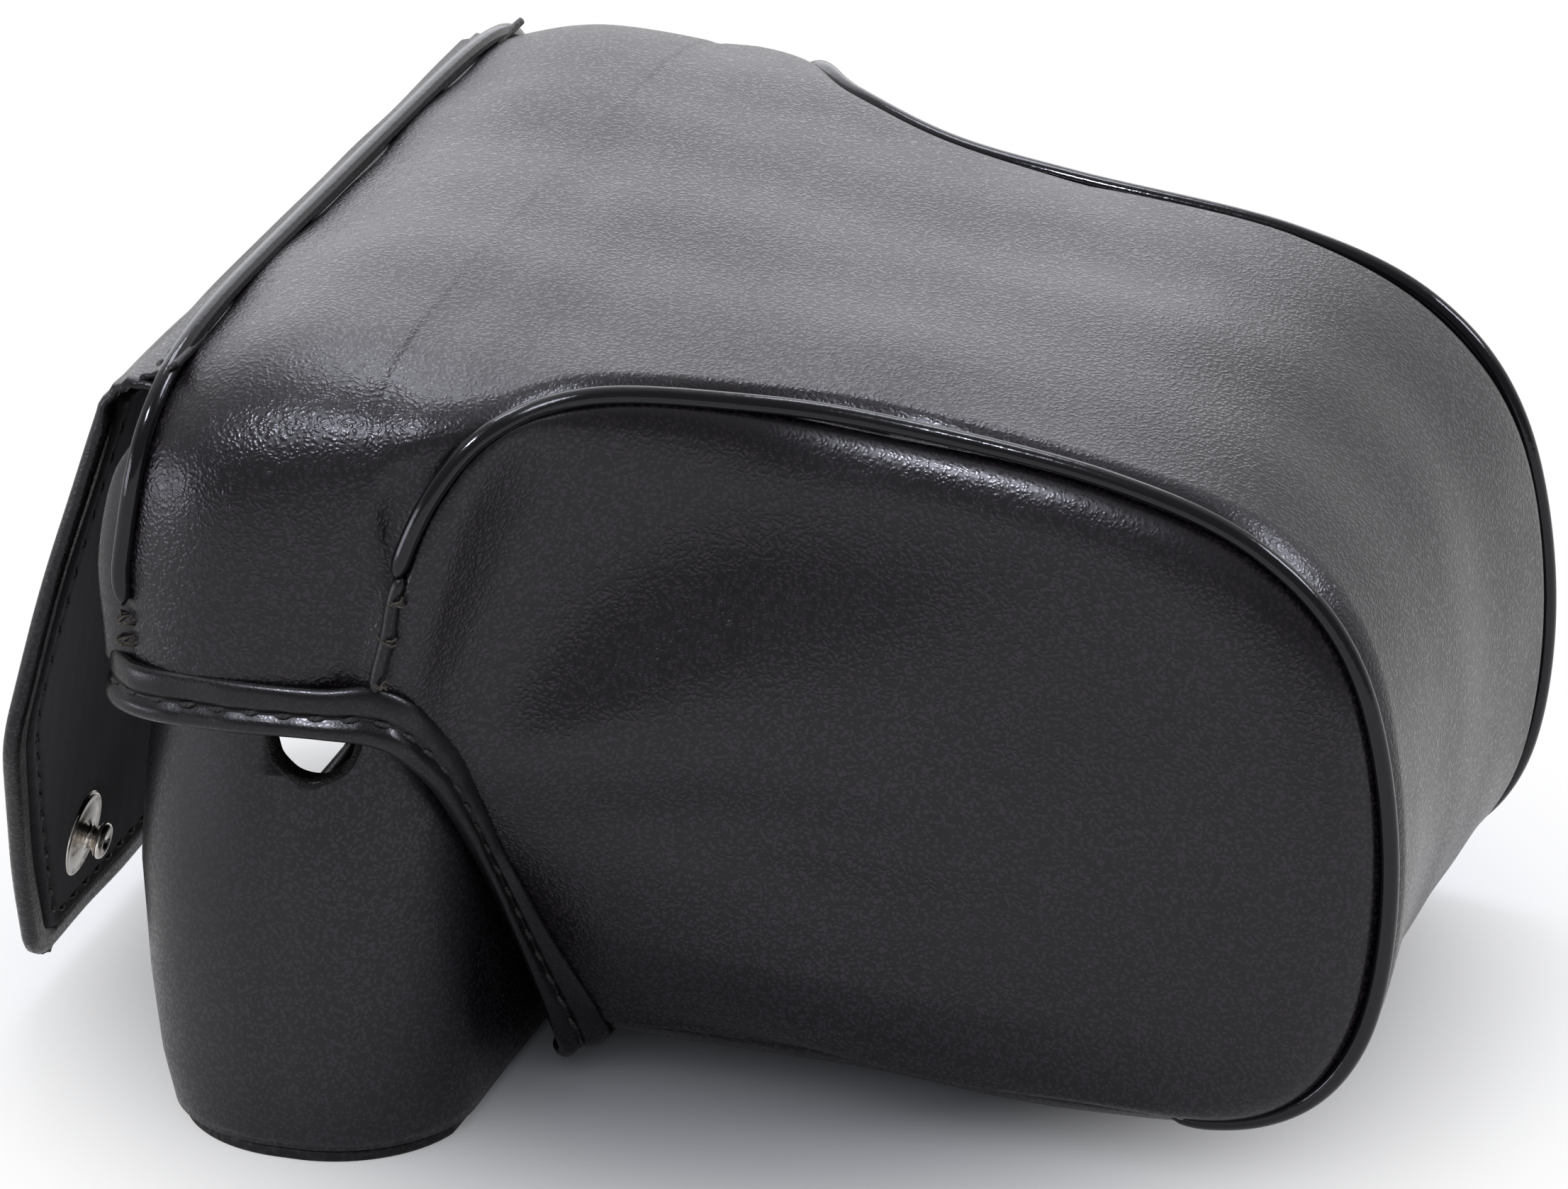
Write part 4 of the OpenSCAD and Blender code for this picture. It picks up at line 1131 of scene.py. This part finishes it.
def flap_stitches():
    """Stitches along the flap's sides and foot, on the lining and on the outer face."""
    inset = 5.5
    down = np.linspace(3, FLAP_LENGTH - inset, 900)
    side = np.stack([flap_half_width(down, inset), down], -1)
    foot = np.stack([np.linspace(side[-1, 0], -side[-1, 0], 300), np.full(300, side[-1, 1])], -1)
    line, _ = even_steps(np.concatenate([side, foot, side[::-1] * [-1, 1]]), STITCH_PITCH)
    x, s = line[1:-1].T
    rows = []
    for depth, away in ((2.36, 1.0), (-0.02, -1.0)):
        place = on_flap(x, s, depth)
        rows.append((place, unit(np.gradient(place, axis=0)), unit(on_flap(x, s, depth + away) - place)))
    sew("flap_stitches", *(np.concatenate(both) for both in zip(*rows)), "flap", ["flap_thread"], dip=0.45)


def root_band():
    """The band that holds the flap to the hood behind the rear piping, with a turned edge over the fold, sewn
    down along it."""
    knots = np.array([[14.6, 96.4], [16.0, 95.2], [17.3, 94.7], [18.5, 94.3], [19.2, 94.0]])
    path = curve_through(knots, np.linspace(0, 4, 41))
    out = line_out(path)
    run = run_along(path)
    half_width = FLAP_HALF - 1.5
    x = np.sin(np.linspace(-1, 1, 141) * np.pi / 2) * half_width
    near = np.minimum(run[-1] - run[:, None], half_width - np.abs(x)[None])
    half = BAND_HALF * rounded(near, 0.6)
    seam = run[-1] - BAND_SEAM
    sewn = 0.14 * bump(run, seam, 0.5)[:, None]

    def face(shift):
        yz = path[:, None] + out[:, None] * (shift - BAND_HALF)[..., None]
        return np.concatenate([np.broadcast_to(x[None, :, None], (*yz.shape[:2], 1)), yz], -1)

    wear = 0.5 * bump(run, run[-1], 0.8)[:, None]
    outer = face(half - sewn)
    make_sheet("flap_root_band", outer, face(-half), FLAP_HIDE, "hood", "black_leather", ["flap_root"],
               wear=wear)
    line, _ = even_steps(outer[np.argmin(np.abs(run - seam))], STITCH_PITCH)
    along = unit(np.gradient(line, axis=0))
    up = np.broadcast_to(np.array([0.0, 0, 1]), line.shape)
    sew("flap_root_stitches", line[1:-1], along[1:-1], up[1:-1], "hood")


def pressed_metal(name, profile, material, slot, node):
    """A pair of turned pieces on the two studs' axes, which look into the case when the flap is shut: a
    profile of radius and height turned once about its axis, and swung out with the flap."""
    steps = 56
    profile = curve_through(profile, np.linspace(0, len(profile) - 1, 8 * len(profile)))
    radius, height = np.clip(profile[:, :1], 0.004, None), profile[:, 1:]
    turn = around(steps)
    y = STUD_Y - height + 0 * turn - FOLD[1]
    z = STUD_Z + radius * np.sin(turn) - FOLD[2]
    c, s = math.cos(FLAP_SWING), math.sin(FLAP_SWING)
    hung = np.stack([radius * np.cos(turn), FOLD[1] + y * c - z * s, FOLD[2] + y * s + z * c], -1)
    faces = grid_quads(len(profile), steps, wrap_cols=True), end_caps(len(profile), steps)
    points, quads, caps = join_parts([(hung + [side * STUD_X, 0, 0], *faces) for side in (-1, 1)])
    make_piece(name, points, quads, material, "flap", slot, [node], caps=caps)


def press_studs():
    """Studs with a dished flange, a waisted post and a hollow rolled head, and leather caps behind them."""
    stud = np.array([
        [0.0, -2.5], [1.4, -2.5], [1.45, -0.3], [5.2, -0.15], [5.45, 0.15], [5.2, 0.45], [4.4, 0.42],
        [3.2, 0.62], [2.2, 0.75], [1.6, 1.05], [1.5, 1.7], [1.75, 2.1], [2.25, 2.45], [2.35, 2.85],
        [2.1, 3.25], [1.6, 3.4], [1.1, 3.25], [0.85, 2.8], [0.6, 2.5], [0.0, 2.45]])
    pressed_metal("press_studs", stud, NICKEL, "nickel", "snap_studs")
    cap = np.array([
        [0.0, -2.3], [4.6, -2.35], [5.5, -2.6], [5.6, -2.95], [5.1, -3.4], [4.0, -3.85], [2.4, -4.2],
        [1.1, -4.33], [0.0, -4.36]])
    pressed_metal("press_caps", cap, FLAP_HIDE, "black_leather", "snap_caps")


def dress_cad_nodes():
    """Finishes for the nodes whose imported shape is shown."""
    finishes = {"base_board": BOARD, "screw_escutcheon": NICKEL, "snap_sockets": NICKEL,
                "socket_rivets": NICKEL, "camera_screw": NICKEL, "retaining_ring": NICKEL}
    for name, material in finishes.items():
        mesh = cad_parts[name].data
        mesh.materials.clear()
        mesh.materials.append(material)


# Stage, light and camera

VIEW_AZIMUTH = math.radians(-73.36)
VIEW_ELEVATION = math.radians(23.06)
VIEW_DISTANCE = 1112.42
VIEW_TARGET = np.array([0.0, -46.0, 45.0])
VIEW_LEFT = 5.97
VIEW_UP = 3.83
PHOTO_WIDTH = 2212
FOCAL_PIXELS = 12870.4
FLOOR_REACH = 4.0
FLOOR_MIDDLE = (0, -0.04, 0)
FLOOR_FADE = (0.045, 0.12)
ROOM_LIGHT = 0.5
BRIGHT_SIDE = (0.95, 0.3, 0.0)
LAMP_COLOUR = (0.91, 0.92, 1.0)
# Name, place, aim, width and height of each soft box in metres, its radiance, and whether it also gives
# diffuse light or only makes highlights
SOFT_BOXES = (
    ("rear_box", (0.96, 0.42, 0.62), (0, -0.04, 0.04), 1.2, 1.0, 1.4, True),
    ("overhead_box", (0.32, 0.12, 0.88), (0, -0.04, 0.05), 0.34, 0.3, 11.0, True),
    ("key_box", (-0.55, 0.12, 0.9), (0, -0.04, 0.06), 0.14, 0.13, 140.0, False),
    ("back_box", (-0.6, 0.85, 0.14), (0, 0, 0.06), 0.6, 0.26, 6.5, False),
    ("front_box", (0.15, -0.78, 0.74), (0, -0.08, 0.05), 0.3, 0.3, 20.0, False),
)


def seen_rays(tree):
    """The kinds of ray, and 1 for those of the camera, of reflections and through clear things."""
    ray = put(tree, "LightPath").outputs
    seen = maths("MAXIMUM", ray["Is Camera Ray"], ray["Is Glossy Ray"])
    return ray, maths("MAXIMUM", seen, ray["Is Transmission Ray"])


def mix_shaders(share, a, b):
    made = put(share.id_data, "MixShader", Fac=share)
    feed(made.inputs[1], a.outputs[0])
    feed(made.inputs[2], b.outputs[0])
    return made


def floor_material():
    """Pale paper that turns plain white in the distance, and is clear from below."""
    made, tree, shader = new_material("pale_floor")
    shader.inputs["Base Color"].default_value = (0.84, 0.865, 0.95, 1)
    shader.inputs["Roughness"].default_value = 0.9
    shader.inputs["Specular IOR Level"].default_value = 0.0
    _, seen = seen_rays(tree)
    away = between(operate("VectorMath", "DISTANCE", here(tree), FLOOR_MIDDLE)["Value"], *FLOOR_FADE)
    white = put(tree, "Emission", Color=(1, 1, 1, 1), Strength=1.0)
    paper = mix_shaders(times(seen, away), shader, white)
    surface = mix_shaders(put(tree, "NewGeometry").outputs["Backfacing"], paper, put(tree, "BsdfTransparent"))
    feed(tree.nodes["Material Output"].inputs["Surface"], surface.outputs[0])
    return made


def make_floor():
    mesh = bpy.data.meshes.new("floor")
    corners = [(x * FLOOR_REACH, y * FLOOR_REACH, 0) for x, y in ((-1, -1), (1, -1), (1, 1), (-1, 1))]
    mesh.from_pydata(corners, [], [(0, 1, 2, 3)])
    mesh.materials.append(floor_material())
    floor = bpy.data.objects.new("floor", mesh)
    bpy.context.scene.collection.objects.link(floor)


def place_facing(thing, place, aim):
    """Puts a light or camera at a place in metres, looking at another."""
    thing.location = place
    thing.rotation_mode = "QUATERNION"
    thing.rotation_quaternion = (Vector(aim) - Vector(place)).to_track_quat("-Z", "Y")
    bpy.context.scene.collection.objects.link(thing)


def soft_box(name, place, aim, width, height, radiance, diffuse):
    """A rectangular light of even radiance that the camera itself does not see."""
    lamp = bpy.data.lights.new(name, "AREA")
    lamp.shape, lamp.size, lamp.size_y = "RECTANGLE", width, height
    lamp.energy = radiance * math.pi * width * height
    lamp.color = LAMP_COLOUR
    made = bpy.data.objects.new(name, lamp)
    made.visible_camera = False
    made.visible_diffuse = diffuse
    place_facing(made, place, aim)


def make_lights():
    """A room that is white to the camera, half as bright as a light, and darker in reflections on the
    camera's side, with a large soft box behind the case, a smaller one overhead and three that only make
    highlights."""
    world = bpy.data.worlds.new("pale_room")
    world.use_nodes = True
    tree = world.node_tree
    background = tree.nodes["Background"]
    background.inputs["Color"].default_value = (1, 1, 1, 1)
    ray, seen = seen_rays(tree)
    direction = put(tree, "TexCoord").outputs["Generated"]
    facing = operate("VectorMath", "DOT_PRODUCT", direction, BRIGHT_SIDE)["Value"]
    room = put(tree, "Mix", {"data_type": "FLOAT"}, Factor=ray["Is Glossy Ray"])
    feed(room.inputs[2], between(seen, 0.0, 1.0, ROOM_LIGHT, 1.0))
    feed(room.inputs[3], between(facing, -0.5, 0.4, 0.26, 1.0))
    feed(background.inputs["Strength"], room.outputs[0])
    bpy.context.scene.world = world
    for box in SOFT_BOXES:
        soft_box(*box)


def make_camera():
    """The photo's camera, off the middle of the picture by VIEW_LEFT and VIEW_UP."""
    a, e = VIEW_AZIMUTH, VIEW_ELEVATION
    back = np.array([math.sin(a) * math.cos(e), -math.cos(a) * math.cos(e), math.sin(e)])
    right = np.array([math.cos(a), math.sin(a), 0])
    up = np.cross(back, right)
    data = bpy.data.cameras.new("photo_camera")
    data.sensor_width = 36
    data.lens = FOCAL_PIXELS / PHOTO_WIDTH * data.sensor_width
    data.clip_start, data.clip_end = 0.05, 20
    camera = bpy.data.objects.new("photo_camera", data)
    place_facing(camera, (VIEW_TARGET + back * VIEW_DISTANCE) * MM,
                 (VIEW_TARGET - right * VIEW_LEFT + up * VIEW_UP) * MM)
    bpy.context.scene.camera = camera


make_camera()
make_floor()
make_lights()
hood_panel()
cheeks()
back_panel()
piping()
rim_binding()
rim_stitches()
seam_ridges()
seam_tacks()
half_case()
lug_rings()
floor_of_case()
screw_thread()
flap_hide()
flap_lining()
flap_stitches()
root_band()
press_studs()
dress_cad_nodes()

bpy.context.scene.view_settings.view_transform = "Standard"
